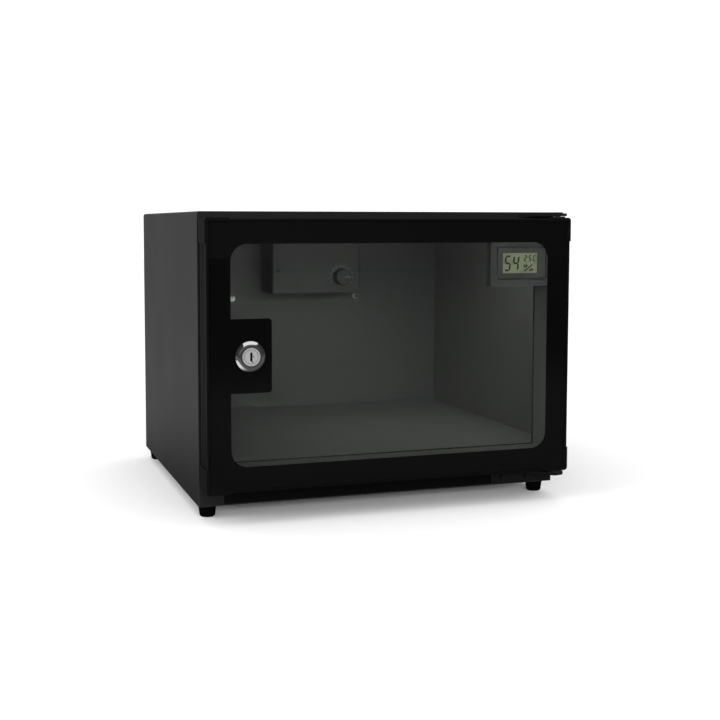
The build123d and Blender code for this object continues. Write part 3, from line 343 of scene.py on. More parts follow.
class Room(Enum):
    """The rooms whose walls get a paler colour than the outside, painted light that stands in for the light falling
    inside them.
    """

    CASE = "the room inside the case"
    DOORWAY = "the opening between the door's rails"
    LIP = "the opening inside the seal"

    def box(self) -> tuple[Vector, Vector]:
        """Gives the room's corners, just inside the surfaces round it.

        Returns:
            Its lowest and highest corners.
        """
        hair = 0.15 * MM
        if self is Room.CASE:
            half_sheet, skin = 0.6 * MM, 0.05 * MM
            low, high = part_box("case_wrapper")
            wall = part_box("dryer_plate")[1].y
            return (Vector((low.x + half_sheet, low.y + skin, low.z + half_sheet)),
                    Vector((high.x - half_sheet, wall + half_sheet, high.z - half_sheet)))
        skin, depth = (hair, 0.0) if self is Room.DOORWAY else (2.2 * MM, 8.0 * MM)
        left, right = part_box("frame_left"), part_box("frame_right")
        bottom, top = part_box("frame_bottom"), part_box("frame_top")
        low = Vector((left[1].x - skin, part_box("glass_pane")[1].y - skin, bottom[1].z - skin))
        return low, Vector((right[0].x + skin, left[1].y + hair + depth, top[0].z + skin))


# ---------------------------------------------------------------- finishes


@dataclass(frozen=True)
class Finish:
    """An opaque finish: its colour, gloss, grain, edge band of wear and painted light, dust, and a paler inside colour
    that is painted light.
    """

    name: str
    color: Color
    rough: float
    metal: float = 0.0
    coat: float = 0.0
    coat_rough: float = 0.08
    specular: float = 0.5
    grain: float = 900.0
    slow: float = 14.0
    depth: float = 0.00004
    bump: float = 0.25
    mottle: float = 0.08
    rough_vary: float = 0.05
    smudge: float = 0.0
    wear_and_painted_light: float = 0.0
    wear_and_painted_light_color: Color = (0.3, 0.3, 0.3)
    wear_and_painted_light_width: float = 0.0012
    dust: float = 0.0
    dust_color: Color = (0.22, 0.22, 0.21)
    dust_rough: float = 0.3
    lines: tuple[float, float, float] | None = None
    lines_rough: float = 0.25
    # Painted light: a paler colour on the surfaces inside the room, standing in for the light that falls inside it.
    painted_light_lining: Color | None = None
    room: Room = Room.CASE

    def make(self, low: Vector | None = None, high: Vector | None = None) -> bpy.types.Material:
        """Builds the material, for one piece whose edge band of wear and painted light follows that piece's edges.

        Args:
            low: Lowest corner of the piece's box.
            high: Highest corner of the piece's box.

        Returns:
            The material.
        """
        own = self.wear_and_painted_light > 0 and low is not None
        if not own and self.name in bpy.data.materials:
            return bpy.data.materials[self.name]
        material, bench = blank(self.name)
        material.diffuse_color = (*self.color, 1.0)
        shader = material.node_tree.nodes["Principled BSDF"]
        grain = shelf.place(bench, Effect.GRAIN, Scale=self.grain, Slow_Scale=self.slow)
        dark = tuple(c * (1.0 - self.mottle) for c in self.color)
        light = tuple(c * (1.0 + self.mottle) for c in self.color)
        color = bench.blend(grain.outputs["Slow"], (*dark, 1.0), (*light, 1.0))
        vary = self.rough_vary
        rough = bench.spread(grain.outputs["Slow"], 0.0, 1.0, self.rough - vary, self.rough + vary)
        # Edge band: wear on most pieces; on the gauge it is painted shade of the gap round the bezel, on the knob a
        # painted highlight on its rim.
        if own:
            mask = shelf.place(bench, Effect.WEAR, Centre=(low + high) / 2, Half_Size=(high - low) / 2,
                               Width=self.wear_and_painted_light_width).outputs["Mask"]
            color = bench.blend(bench.math("MULTIPLY", mask, self.wear_and_painted_light), color, (*self.wear_and_painted_light_color, 1.0))
        # Painted light: surfaces inside the room get the paler colour in place of the finish's own colour.
        if self.painted_light_lining is not None:
            inner_low, inner_high = self.room.box()
            mask = shelf.place(bench, Effect.CHAMBER, Centre=(inner_low + inner_high) / 2,
                               Half_Size=(inner_high - inner_low) / 2).outputs["Mask"]
            color = bench.blend(mask, color, (*self.painted_light_lining, 1.0))
        if self.smudge > 0:
            hand = shelf.place(bench, Effect.SMUDGE).outputs["Mask"]
            rough = bench.math("ADD", rough, bench.math("MULTIPLY", hand, self.smudge))
        if self.dust > 0:
            mask = shelf.place(bench, Effect.DUST, Amount=self.dust).outputs["Mask"]
            color = bench.blend(mask, color, (*self.dust_color, 1.0))
            rough = bench.math("ADD", rough, bench.math("MULTIPLY", mask, self.dust_rough))
        height = grain.outputs["Fine"]
        if self.lines is not None:
            height = shelf.place(bench, Effect.BRUSH, Across=self.lines).outputs["Lines"]
            uneven = bench.math("SUBTRACT", height, 0.5)
            rough = bench.math("ADD", rough, bench.math("MULTIPLY", uneven, self.lines_rough))
        normal = bench.node("ShaderNodeBump", {"Strength": self.bump, "Distance": self.depth, "Height": height})
        bench.put(shader.inputs["Base Color"], color)
        bench.put(shader.inputs["Roughness"], rough)
        bench.put(shader.inputs["Normal"], normal.outputs["Normal"])
        shader.inputs["Metallic"].default_value = self.metal
        shader.inputs["Specular IOR Level"].default_value = self.specular
        shader.inputs["Coat Weight"].default_value = self.coat
        shader.inputs["Coat Roughness"].default_value = self.coat_rough
        return material


@dataclass(frozen=True)
class Clear:
    """A clear finish that lets light through: pane glass or clear plastic."""

    name: str
    color: Color
    rough: float
    ior: float
    through: float = 1.0
    smudge: float = 0.02
    shade: Color = (0.75, 0.78, 0.76)
    edge: float = 0.0
    edge_color: Color = (0.2, 0.2, 0.2)
    edge_width: float = 0.001

    def make(self, low: Vector | None = None, high: Vector | None = None) -> bpy.types.Material:
        """Builds the material.

        Args:
            low: Lowest corner of the piece's box, where its edges are paler.
            high: Highest corner of the piece's box.

        Returns:
            The material.
        """
        if self.name in bpy.data.materials:
            return bpy.data.materials[self.name]
        material, bench = blank(self.name)
        material.diffuse_color = (*self.color, 0.35)
        shader = material.node_tree.nodes["Principled BSDF"]
        hand = shelf.place(bench, Effect.SMUDGE).outputs["Mask"]
        grain = shelf.place(bench, Effect.GRAIN, Scale=8.0, Slow_Scale=3.0)
        bench.put(shader.inputs["Roughness"], bench.math("ADD", self.rough, bench.math("MULTIPLY", hand, self.smudge)))
        normal = bench.node("ShaderNodeBump", {"Strength": 0.02, "Distance": 0.0002, "Height": grain.outputs["Fine"]})
        bench.put(shader.inputs["Normal"], normal.outputs["Normal"])
        shader.inputs["Base Color"].default_value = (*self.color, 1.0)
        if self.edge > 0 and low is not None:
            mask = shelf.place(bench, Effect.WEAR, Centre=(low + high) / 2, Half_Size=(high - low) / 2,
                               Width=self.edge_width, Ragged=0.1).outputs["Mask"]
            pale = bench.blend(bench.math("MULTIPLY", mask, self.edge), (*self.color, 1.0), (*self.edge_color, 1.0))
            bench.put(shader.inputs["Base Color"], pale)
        shader.inputs["IOR"].default_value = self.ior
        shader.inputs["Transmission Weight"].default_value = self.through
        shadow = bench.node("ShaderNodeLightPath").outputs["Is Shadow Ray"]
        passing = bench.node("ShaderNodeBsdfTransparent", {"Color": (*self.shade, 1.0)})
        mixed = bench.node("ShaderNodeMixShader", {0: shadow, 1: shader.outputs[0], 2: passing.outputs[0]})
        bench.put(material.node_tree.nodes["Material Output"].inputs["Surface"], mixed.outputs[0])
        return material


# Painted light: the paler colour inside the case stands in for the light there; the paint itself is the same inside and
# out.
POWDER = Finish("powder coat", (0.0078, 0.0078, 0.0079), 0.40, grain=1100.0, depth=0.00003, bump=0.15, mottle=0.03,
                rough_vary=0.012, wear_and_painted_light=0.35, wear_and_painted_light_color=(0.05, 0.05, 0.05), wear_and_painted_light_width=0.0010, dust=0.02,
                painted_light_lining=(0.095, 0.097, 0.094))
# Painted light: the floor's paler inside colour stands in for the light falling on it.
FLOOR_PAINT = Finish("floor powder coat", (0.0022, 0.0022, 0.0022), 0.50, specular=0.15, grain=1100.0, depth=0.00003,
                     bump=0.12, mottle=0.03, rough_vary=0.02, dust=0.02, painted_light_lining=(0.146, 0.149, 0.145))
# Painted light: the back wall's paler inside colour stands in for the light falling on it.
BACK_PAINT = Finish("back powder coat", (0.0060, 0.0060, 0.0060), 0.46, grain=1100.0, depth=0.00003, bump=0.12,
                    mottle=0.03, rough_vary=0.02, dust=0.02, painted_light_lining=(0.065, 0.067, 0.065))
HINGE_PAINT = Finish("hinge paint", (0.006, 0.006, 0.006), 0.42, specular=0.3, grain=1400.0, depth=0.00004, mottle=0.08,
                     wear_and_painted_light=0.4, wear_and_painted_light_color=(0.05, 0.05, 0.05), wear_and_painted_light_width=0.0006, dust=0.03)
# Painted light: the rails' faces in the doorway get a paler colour that stands in for the light falling on them.
FRAME_PLASTIC = Finish("extruded frame", (0.0026, 0.0026, 0.0027), 0.45, specular=0.06, grain=600.0, depth=0.00002,
                       bump=0.2, mottle=0.06, rough_vary=0.02, wear_and_painted_light=0.35, wear_and_painted_light_color=(0.02, 0.02, 0.02),
                       wear_and_painted_light_width=0.0006, dust=0.02, smudge=0.04, painted_light_lining=(0.105, 0.108, 0.104), room=Room.DOORWAY)
CAP_PLASTIC = Finish("moulded cap", (0.0030, 0.0030, 0.0031), 0.48, specular=0.06, grain=1500.0, depth=0.00004,
                     bump=0.3, mottle=0.06, rough_vary=0.02, wear_and_painted_light=0.35, wear_and_painted_light_color=(0.02, 0.02, 0.02),
                     wear_and_painted_light_width=0.0007, dust=0.02, smudge=0.04)
BORDER = Finish("border print", (0.0072, 0.0075, 0.0072), 0.60, specular=0.04, grain=2500.0, depth=0.00001, bump=0.1,
                mottle=0.10)
# Painted light: the seal's faces round its opening get a paler colour that stands in for the light falling on them.
SEAL_RUBBER = Finish("seal rubber", (0.010, 0.010, 0.010), 0.65, specular=0.15, grain=900.0, depth=0.00005, mottle=0.08,
                     dust=0.03, painted_light_lining=(0.105, 0.108, 0.104), room=Room.LIP)
FOOT_RUBBER = Finish("foot rubber", (0.0015, 0.0015, 0.0015), 0.70, specular=0.03, grain=1300.0, depth=0.00008,
                     bump=0.5, mottle=0.15, dust=0.02)
CHROME = Finish("lock chrome", (0.83, 0.84, 0.85), 0.09, metal=1.0, grain=500.0, depth=0.000004, bump=0.1,
                mottle=0.03, rough_vary=0.03, smudge=0.05)
KEYED_CHROME = Finish("lock core plate", (0.44, 0.44, 0.435), 0.36, metal=0.40, mottle=0.05, rough_vary=0.04,
                      smudge=0.05, lines=(2600.0, 2600.0, 60.0), depth=0.00002, bump=0.35)
# Painted shade: the keyway is a flat dark mark on the core's face, standing in for the shade inside the slot and its
# warded tail.
PAINTED_KEYWAY_SHADE = Finish("painted keyway shade", (0.003, 0.003, 0.003), 0.60, specular=0.1, grain=1800.0, depth=0.00001, mottle=0.2)
CORE_LINE = Finish("core groove", (0.10, 0.10, 0.10), 0.45, metal=0.6, grain=1800.0, depth=0.00001, mottle=0.15)
ZINC = Finish("zinc plate", (0.60, 0.60, 0.58), 0.30, metal=1.0, grain=700.0, slow=90.0, depth=0.00002, mottle=0.12,
              rough_vary=0.08)
BLUED = Finish("blackened steel", (0.022, 0.022, 0.023), 0.42, metal=0.7, grain=900.0, slow=120.0, depth=0.00002,
               mottle=0.15, rough_vary=0.06)
CAM_STEEL = Finish("cam steel", (0.52, 0.52, 0.51), 0.34, metal=1.0, mottle=0.10, lines=(60.0, 900.0, 1900.0),
                   depth=0.00002, bump=0.3)
BEARING = Finish("bearing plastic", (0.020, 0.020, 0.020), 0.42, grain=1200.0, mottle=0.05)
MAGNET = Finish("magnet strip", (0.045, 0.042, 0.040), 0.70, mottle=0.1)
# Painted shade: the dark band round the edges of the gauge's case and cover stands in for the shadow gap between the
# bezel and the holder.
GAUGE_GREY = Finish("gauge plastic", (0.058, 0.059, 0.058), 0.40, specular=0.3, grain=1800.0, depth=0.00003,
                    mottle=0.04, wear_and_painted_light=0.9, wear_and_painted_light_color=(0.010, 0.010, 0.010), wear_and_painted_light_width=0.0022)
DISPLAY = Finish("display face", (0.245, 0.266, 0.172), 0.30, grain=2600.0, slow=120.0, depth=0.00001, bump=0.05,
                 mottle=0.06)
FIGURE = Finish("display figures", (0.012, 0.014, 0.013), 0.40, specular=0.2, grain=2600.0, depth=0.00001, mottle=0.2)
DRYER_PLATE = Finish("dryer plate paint", (0.080, 0.082, 0.079), 0.46, grain=1200.0, depth=0.00003, bump=0.15,
                     mottle=0.04, rough_vary=0.02, dust=0.02)
DRYER_PLASTIC = Finish("dryer housing plastic", (0.049, 0.051, 0.049), 0.46, grain=1600.0, depth=0.00003, bump=0.2,
                       mottle=0.04, rough_vary=0.02, wear_and_painted_light=0.2, wear_and_painted_light_color=(0.10, 0.10, 0.10), wear_and_painted_light_width=0.0008,
                       dust=0.02)
# Painted highlight: the pale band round the knob's edges stands in for light caught on its rim, together with some
# wear.
KNOB = Finish("knob plastic", (0.048, 0.050, 0.048), 0.40, grain=1500.0, depth=0.00004, mottle=0.06, wear_and_painted_light=0.4,
              wear_and_painted_light_color=(0.10, 0.10, 0.10), wear_and_painted_light_width=0.0006)
PRINT = Finish("pale print", (0.20, 0.205, 0.20), 0.50, grain=2500.0, depth=0.00002, mottle=0.10)
CARTRIDGE = Finish("cartridge plastic", (0.50, 0.50, 0.46), 0.45, grain=1300.0, mottle=0.06)
HEATER = Finish("heater aluminium", (0.62, 0.63, 0.64), 0.35, metal=1.0, lines=(2000.0, 60.0, 2000.0), depth=0.00002)
BOARD = Finish("board lacquer", (0.012, 0.090, 0.035), 0.30, coat=0.3, grain=700.0, slow=160.0, mottle=0.25)
BLACK_PLASTIC = Finish("black plastic", (0.012, 0.012, 0.012), 0.42, grain=1500.0, depth=0.00005, bump=0.3, mottle=0.08)
MOTOR = Finish("motor can", (0.46, 0.46, 0.47), 0.32, metal=1.0, lines=(60.0, 1500.0, 1500.0), depth=0.00002)
BRASS = Finish("pin brass", (0.72, 0.58, 0.30), 0.25, metal=1.0, grain=900.0, mottle=0.08)
LEAD = Finish("lead cover", (0.018, 0.018, 0.018), 0.45, grain=1500.0, mottle=0.1)
PANE = Clear("pane glass", (0.84, 0.86, 0.84), 0.0, 1.5, shade=(0.50, 0.51, 0.495))
HOLDER = Clear("clear holder", (0.066, 0.068, 0.067), 0.34, 1.46, through=0.35, smudge=0.05, edge=0.8,
               edge_color=(0.115, 0.12, 0.115), edge_width=0.0010)

NODE_FINISHES: dict[str, Finish | Clear] = {
    "case_wrapper": POWDER, "base_pan": POWDER, "floor_panel": FLOOR_PAINT, "back_panel": BACK_PAINT,
    "strike_plate": ZINC, "foot_front_left": FOOT_RUBBER, "foot_front_right": FOOT_RUBBER,
    "foot_rear_left": FOOT_RUBBER, "foot_rear_right": FOOT_RUBBER, "foot_screws": ZINC,
    "upper_hinge_plate": HINGE_PAINT, "lower_hinge_bracket": HINGE_PAINT, "upper_hinge_pin": BLUED,
    "lower_hinge_pin": BLUED, "hinge_washer": BEARING, "upper_hinge_screws": ZINC, "lower_hinge_screws": BLUED,
    "frame_left": FRAME_PLASTIC, "frame_right": FRAME_PLASTIC, "frame_bottom": FRAME_PLASTIC,
    "frame_top": FRAME_PLASTIC, "corner_cap_top_left": CAP_PLASTIC, "corner_cap_top_right": CAP_PLASTIC,
    "corner_cap_bottom_left": CAP_PLASTIC, "corner_cap_bottom_right": CAP_PLASTIC, "hinge_bushes": BEARING,
    "glass_pane": PANE, "glass_border": BORDER, "magnet_strips": MAGNET, "lock_body": CHROME, "lock_nut": ZINC,
    "lock_core": KEYED_CHROME, "lock_cam": CAM_STEEL, "cam_screw": ZINC, "gauge_holder": HOLDER,
    "gauge_case": GAUGE_GREY, "gauge_display": DISPLAY, "gauge_cover": GAUGE_GREY, "button_cells": ZINC,
    "dryer_plate": DRYER_PLATE, "dryer_housing": DRYER_PLASTIC, "dryer_screws": ZINC, "cover_screws": ZINC,
    "desiccant_cartridge": CARTRIDGE, "heater_plate": HEATER, "control_board": BOARD, "board_screws": ZINC,
    "potentiometer": BLACK_PLASTIC, "dial_knob": KNOB, "dial_shaft": ZINC, "flap_bracket": ZINC,
    "air_flap": BLACK_PLASTIC, "flap_shaft": ZINC, "flap_motor": MOTOR, "rear_vent_cover": POWDER,
    "vent_screws": ZINC, "power_inlet": BLACK_PLASTIC, "inlet_pins": BRASS, "power_leads": LEAD,
    "door_seal": SEAL_RUBBER,
}


def dress_nodes() -> None:
    """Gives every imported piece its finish."""
    for name, finish in NODE_FINISHES.items():
        low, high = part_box(name)
        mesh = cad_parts[name].data
        mesh.materials.clear()
        mesh.materials.append(finish.make(low, high))
        log.info("dressed %s with %s", name, finish.name)


# ---------------------------------------------------------------- modelling tools


def moved(x: float, y: float, z: float) -> Matrix:
    """Gives a shift."""
    return Matrix.Translation((x, y, z))


def turned(degrees: float, axis: str) -> Matrix:
    """Gives a turn round one axis."""
    return Matrix.Rotation(math.radians(degrees), 4, axis)


class Modeller:
    """Models new pieces with Blender's operators, as by hand."""

    @staticmethod
    def clear() -> None:
        """Leaves edit mode and selects nothing."""
        if bpy.context.object is not None and bpy.context.object.mode != "OBJECT":
            bpy.ops.object.mode_set(mode="OBJECT")
        bpy.ops.object.select_all(action="DESELECT")

    @staticmethod
    def pick(obj: Object) -> None:
        """Selects one object and makes it the active one."""
        Modeller.clear()
        obj.select_set(True)
        bpy.context.view_layer.objects.active = obj

    @staticmethod
    def blade(name: str, length: float, width: float) -> Object:
        """A flat bar with pointed ends, lying in X and Z with its length along Z.

        Args:
            name: The object's name.
            length: From point to point.
            width: Across.

        Returns:
            The bar, centred on the origin.
        """
        Modeller.clear()
        bpy.ops.mesh.primitive_circle_add(vertices=6, radius=width / math.sqrt(3.0), fill_type="NGON")
        obj = bpy.context.object
        obj.name = name
        bpy.ops.object.mode_set(mode="EDIT")
        stretch = length / 2 - width / math.sqrt(3.0)
        for way in (1, -1):
            bpy.ops.mesh.select_all(action="DESELECT")
            bpy.ops.object.mode_set(mode="OBJECT")
            for vertex in obj.data.vertices:
                vertex.select = vertex.co.y * way > 0.0
            bpy.ops.object.mode_set(mode="EDIT")
            bpy.ops.transform.translate(value=(0.0, way * stretch, 0.0))
        bpy.ops.object.mode_set(mode="OBJECT")
        obj.data.transform(turned(90.0, "X"))
        return obj

    @staticmethod
    def ring(name: str, radius: float, width: float, sides: int = 40) -> Object:
        """A flat ring lying in X and Z.

        Args:
            name: The object's name.
            radius: Its outer radius.
            width: Its width.
            sides: How many sides the circle has.

        Returns:
            The ring, centred on the origin.
        """
        Modeller.clear()
        bpy.ops.mesh.primitive_circle_add(vertices=sides, radius=radius, fill_type="NGON")
        obj = bpy.context.object
        obj.name = name
        bpy.ops.object.mode_set(mode="EDIT")
        bpy.ops.mesh.select_all(action="SELECT")
        bpy.ops.mesh.inset(thickness=width)
        bpy.ops.mesh.delete(type="FACE")
        bpy.ops.object.mode_set(mode="OBJECT")
        obj.data.transform(turned(90.0, "X"))
        return obj

    @staticmethod
    def copy(obj: Object, matrix: Matrix) -> Object:
        """A copy with its own mesh, moved in its mesh.

        Args:
            obj: What to copy.
            matrix: Where the copy goes.

        Returns:
            The copy.
        """
        twin = obj.copy()
        twin.data = obj.data.copy()
        twin.data.transform(matrix)
        bpy.context.scene.collection.objects.link(twin)
        return twin

    @staticmethod
    def modify(obj: Object, kind: str, **settings: object) -> None:
        """Adds one modifier and applies it.

        Args:
            obj: The object.
            kind: The modifier's type.
            settings: Its properties.
        """
        Modeller.pick(obj)
        bpy.ops.object.modifier_add(type=kind)
        modifier = obj.modifiers[-1]
        for name, value in settings.items():
            setattr(modifier, name, value)
        bpy.ops.object.modifier_apply(modifier=modifier.name)

    @staticmethod
    def join(name: str, parts: list[Object]) -> Object:
        """Joins several objects into one.

        Args:
            name: The joined object's name.
            parts: The objects to join.

        Returns:
            The joined object.
        """
        Modeller.clear()
        for part in parts:
            part.select_set(True)
        bpy.context.view_layer.objects.active = parts[0]
        if len(parts) > 1:
            bpy.ops.object.join()
        parts[0].name = name
        return parts[0]

    @staticmethod
    def outward(obj: Object) -> None:
        """Merges doubles and turns the faces outwards."""
        Modeller.pick(obj)
        bpy.ops.object.mode_set(mode="EDIT")
        bpy.ops.mesh.select_all(action="SELECT")
        bpy.ops.mesh.remove_doubles(threshold=0.000002)
        bpy.ops.mesh.normals_make_consistent(inside=False)
        bpy.ops.object.mode_set(mode="OBJECT")

    @staticmethod
    def thicken(obj: Object, thickness: float) -> None:
        """Gives a flat piece its thickness, half of it on each side."""
        Modeller.modify(obj, "SOLIDIFY", thickness=thickness, offset=0.0)
        Modeller.outward(obj)

    @staticmethod
    def finish(obj: Object, body: str, slot: str, finish: Finish | Clear) -> Object:
        """Gives a new piece its finish and its body.

        Args:
            obj: The piece.
            body: The body that it rides on.
            slot: The record's material slot; not used.
            finish: Its finish.

        Returns:
            The piece.
        """
        obj.data.materials.clear()
        obj.data.materials.append(finish.make())
        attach(obj, body)
        log.info("built %s on %s", obj.name, body)
        return obj


# ---------------------------------------------------------------- display figures


@dataclass
class DisplayFigures:
    """The dark figures of the humidity display: two large ones, two small ones, their unit and a percent sign."""

    lift: float = 0.02 * MM
    thickness: float = 0.06 * MM
    slant: float = 0.10
    large: tuple[float, float] = (6.0 * MM, 13.8 * MM)
    small: tuple[float, float] = (2.9 * MM, 5.6 * MM)
    stroke_large: float = 1.6 * MM
    stroke_small: float = 1.0 * MM
    gap: float = 0.10
    lit: dict[str, str] = field(default_factory=lambda: {"5": "afgcd", "4": "fgbc", "2": "abged", "c": "afed"})

    def figure(self, which: str, left: float, low: float, size: tuple[float, float], stroke: float) -> list[Object]:
        """One figure of pointed bars.

        Args:
            which: The figure.
            left: Its left edge.
            low: Its lower edge.
            size: Its width and height.
            stroke: The width of its bars.

        Returns:
            Its bars.
        """
        width, height = size
        upright = (height - stroke) / 2
        across = width - stroke
        middle, centre = low + height / 2, left + width / 2
        right, top = left + width - stroke / 2, low + height - stroke / 2
        places = {
            "a": (centre, top, across, 90.0),
            "g": (centre, middle, across, 90.0),
            "d": (centre, low + stroke / 2, across, 90.0),
            "f": (left + stroke / 2, middle + upright / 2, upright, 0.0),
            "b": (right, middle + upright / 2, upright, 0.0),
            "e": (left + stroke / 2, middle - upright / 2, upright, 0.0),
            "c": (right, middle - upright / 2, upright, 0.0),
        }
        bars = []
        for bar in self.lit[which]:
            x, z, length, turn = places[bar]
            blade = Modeller.blade("bar", length * (1.0 - self.gap), stroke)
            blade.data.transform(moved(x, 0.0, z) @ turned(turn, "Y"))
            bars.append(blade)
        return bars

    def percent(self, x: float, z: float, height: float) -> list[Object]:
        """A percent sign: a slanting bar between two small rings.

        Args:
            x: Its middle.
            z: Its middle height.
            height: Its height.

        Returns:
            Its three parts.
        """
        slash = Modeller.blade("slash", height * 1.55, self.stroke_small)
        slash.data.transform(moved(x, 0.0, z) @ turned(52.0, "Y"))
        parts = [slash]
        for side in (-1, 1):
            ring = Modeller.ring("ring", height * 0.26, self.stroke_small, 20)
            ring.data.transform(moved(x + side * height * 0.48, 0.0, z - side * height * 0.28)
                                @ Matrix.Diagonal((1.25, 1.0, 0.8, 1.0)))
            parts.append(ring)
        return parts

    def build(self) -> Object:
        """Builds all the figures just in front of the display.

        Returns:
            The figures as one piece.
        """
        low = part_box("gauge_display")[0]
        parts = self.figure("5", 0.9 * MM, 1.6 * MM, self.large, self.stroke_large)
        parts += self.figure("4", 8.8 * MM, 1.6 * MM, self.large, self.stroke_large)
        parts += self.figure("2", 19.2 * MM, 10.0 * MM, self.small, self.stroke_small)
        parts += self.figure("5", 23.6 * MM, 10.0 * MM, self.small, self.stroke_small)
        parts += self.figure("c", 28.0 * MM, 10.0 * MM, self.small, self.stroke_small)
        parts += self.percent(24.4 * MM, 4.4 * MM, 6.2 * MM)
        figures = Modeller.join("display_figures", parts)
        shear = Matrix.Identity(4)
        shear[0][2] = self.slant
        figures.data.transform(moved(low.x, low.y - self.lift, low.z) @ shear)
        Modeller.thicken(figures, self.thickness)
        return Modeller.finish(figures, "door", "display", FIGURE)


# ---------------------------------------------------------------- dial marks


@dataclass
class DialMarks:
    """The printed scale round the dial and the pale filling of the dial's pointer groove."""

    lift: float = 0.03 * MM
    thickness: float = 0.08 * MM
    scale_radius: float = 13.2 * MM
    tick_length: float = 2.0 * MM
    tick_width: float = 0.7 * MM
    tick_count: int = 11
    first: float = -30.0
    last: float = 210.0
    arc_radius: float = 11.2 * MM
    arc_width: float = 0.5 * MM
    groove_width: float = 1.0 * MM
    groove_depth: float = 0.4 * MM
    groove_length: float = 6.6 * MM
    groove_start: float = 0.8 * MM
    filling: float = 0.3 * MM
    gap_start: float = -150.0

    def scale(self) -> Object:
        """Builds the scale's ticks and arc on the dryer's front face.

        Returns:
            The scale as one piece.
        """
        dial_low, dial_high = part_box("dial_knob")
        centre = (dial_low + dial_high) / 2
        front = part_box("dryer_housing")[0].y
        tick = Modeller.blade("tick", self.tick_length, self.tick_width)
        parts = []
        for number in range(self.tick_count):
            angle = self.first + (self.last - self.first) * number / (self.tick_count - 1)
            turn = turned(90.0 - angle, "Y")
            parts.append(Modeller.copy(tick, turn @ moved(0.0, 0.0, self.scale_radius)))
        bpy.data.objects.remove(tick)
        arc = Modeller.ring("arc", self.arc_radius, self.arc_width, 72)
        self.keep_upper(arc)
        parts.append(arc)
        scale = Modeller.join("dial_scale", parts)
        scale.data.transform(moved(centre.x, front - self.lift, centre.z))
        Modeller.thicken(scale, self.thickness)
        return Modeller.finish(scale, "cabinet", "dryer_plastic", PRINT)

    def keep_upper(self, arc: Object) -> None:
        """Cuts the arc open at the bottom.

        Args:
            arc: The full ring.
        """
        Modeller.pick(arc)
        for face in arc.data.polygons:
            angle = math.degrees(math.atan2(face.center.z, face.center.x))
            face.select = self.gap_start < angle < self.first
        bpy.ops.object.mode_set(mode="EDIT")
        bpy.ops.mesh.delete(type="FACE")
        bpy.ops.object.mode_set(mode="OBJECT")

    def pointer(self) -> Object:
        """Builds the filling of the dial's pointer groove.

        Returns:
            The filling.
        """
        low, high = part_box("dial_knob")
        centre = (low + high) / 2
        bar = Modeller.blade("dial_pointer", self.groove_length, self.groove_width)
        turn = turned(90.0, "Y")
        depth = low.y + self.groove_depth
        place = moved(centre.x + self.groove_length / 2 + self.groove_start, depth, centre.z)
        bar.data.transform(place @ turn)
        Modeller.thicken(bar, self.filling)
        return Modeller.finish(bar, "dial", "black_plastic", PRINT)

    def build(self) -> None:
        """Builds the scale and the pointer's filling."""
        self.scale()
        self.pointer()


# ---------------------------------------------------------------- lock face


@dataclass
class LockFace:
    """Dark marks of painted shade for the keyway's mouth and its warded tail, and the fine groove turned round the
    core's face.
    """

    lift: float = 0.02 * MM
    thickness: float = 0.06 * MM
    slot_length: float = 7.8 * MM
    slot_width: float = 1.9 * MM
    tail_length: float = 2.6 * MM
    tail_width: float = 0.7 * MM
    tail_place: tuple[float, float] = (0.75 * MM, -3.7 * MM)
    tail_turn: float = -28.0
    notch_place: tuple[float, float] = (1.9 * MM, 0.1 * MM)
    groove_radius: float = 5.9 * MM
    groove_width: float = 0.32 * MM

    def keyway(self, centre: Vector, front: float) -> Object:
        """Builds dark marks on the core's face: painted shade of the keyway's mouth and of the wards beside it.

        Args:
            centre: The core's middle.
            front: The core's front face.

        Returns:
            The marks as one piece.
        """
        slot = Modeller.blade("slot", self.slot_length, self.slot_width)
        slot.data.transform(moved(centre.x, front - self.lift, centre.z))
        tail = Modeller.blade("tail", self.tail_length, self.tail_width)
        turn = turned(self.tail_turn, "Y")
        x, z = self.tail_place
        tail.data.transform(moved(centre.x + x, front - self.lift, centre.z + z) @ turn)
        notch = Modeller.blade("notch", self.tail_length * 0.55, self.tail_width)
        x, z = self.notch_place
        notch.data.transform(moved(centre.x + x, front - self.lift, centre.z + z) @ turn)
        keyway_shade_marks = Modeller.join("keyway_painted_shade", [slot, tail, notch])
        Modeller.thicken(keyway_shade_marks, self.thickness)
        return Modeller.finish(keyway_shade_marks, "lock_core", "lock_chrome", PAINTED_KEYWAY_SHADE)

    def groove(self, centre: Vector, front: float) -> Object:
        """Builds the turned groove.

        Args:
            centre: The core's middle.
            front: The core's front face.

        Returns:
            The groove.
        """
        line = Modeller.ring("core_groove", self.groove_radius, self.groove_width, 48)
        line.data.transform(moved(centre.x, front - self.lift, centre.z))
        Modeller.thicken(line, self.thickness)
        return Modeller.finish(line, "lock_core", "lock_chrome", CORE_LINE)

    def build(self) -> None:
        """Builds the keyway's painted shade and the groove on the core's face."""
        low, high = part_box("lock_core")
        centre = (low + high) / 2
        self.keyway(centre, low.y)
        self.groove(centre, low.y)


# ---------------------------------------------------------------- door seal


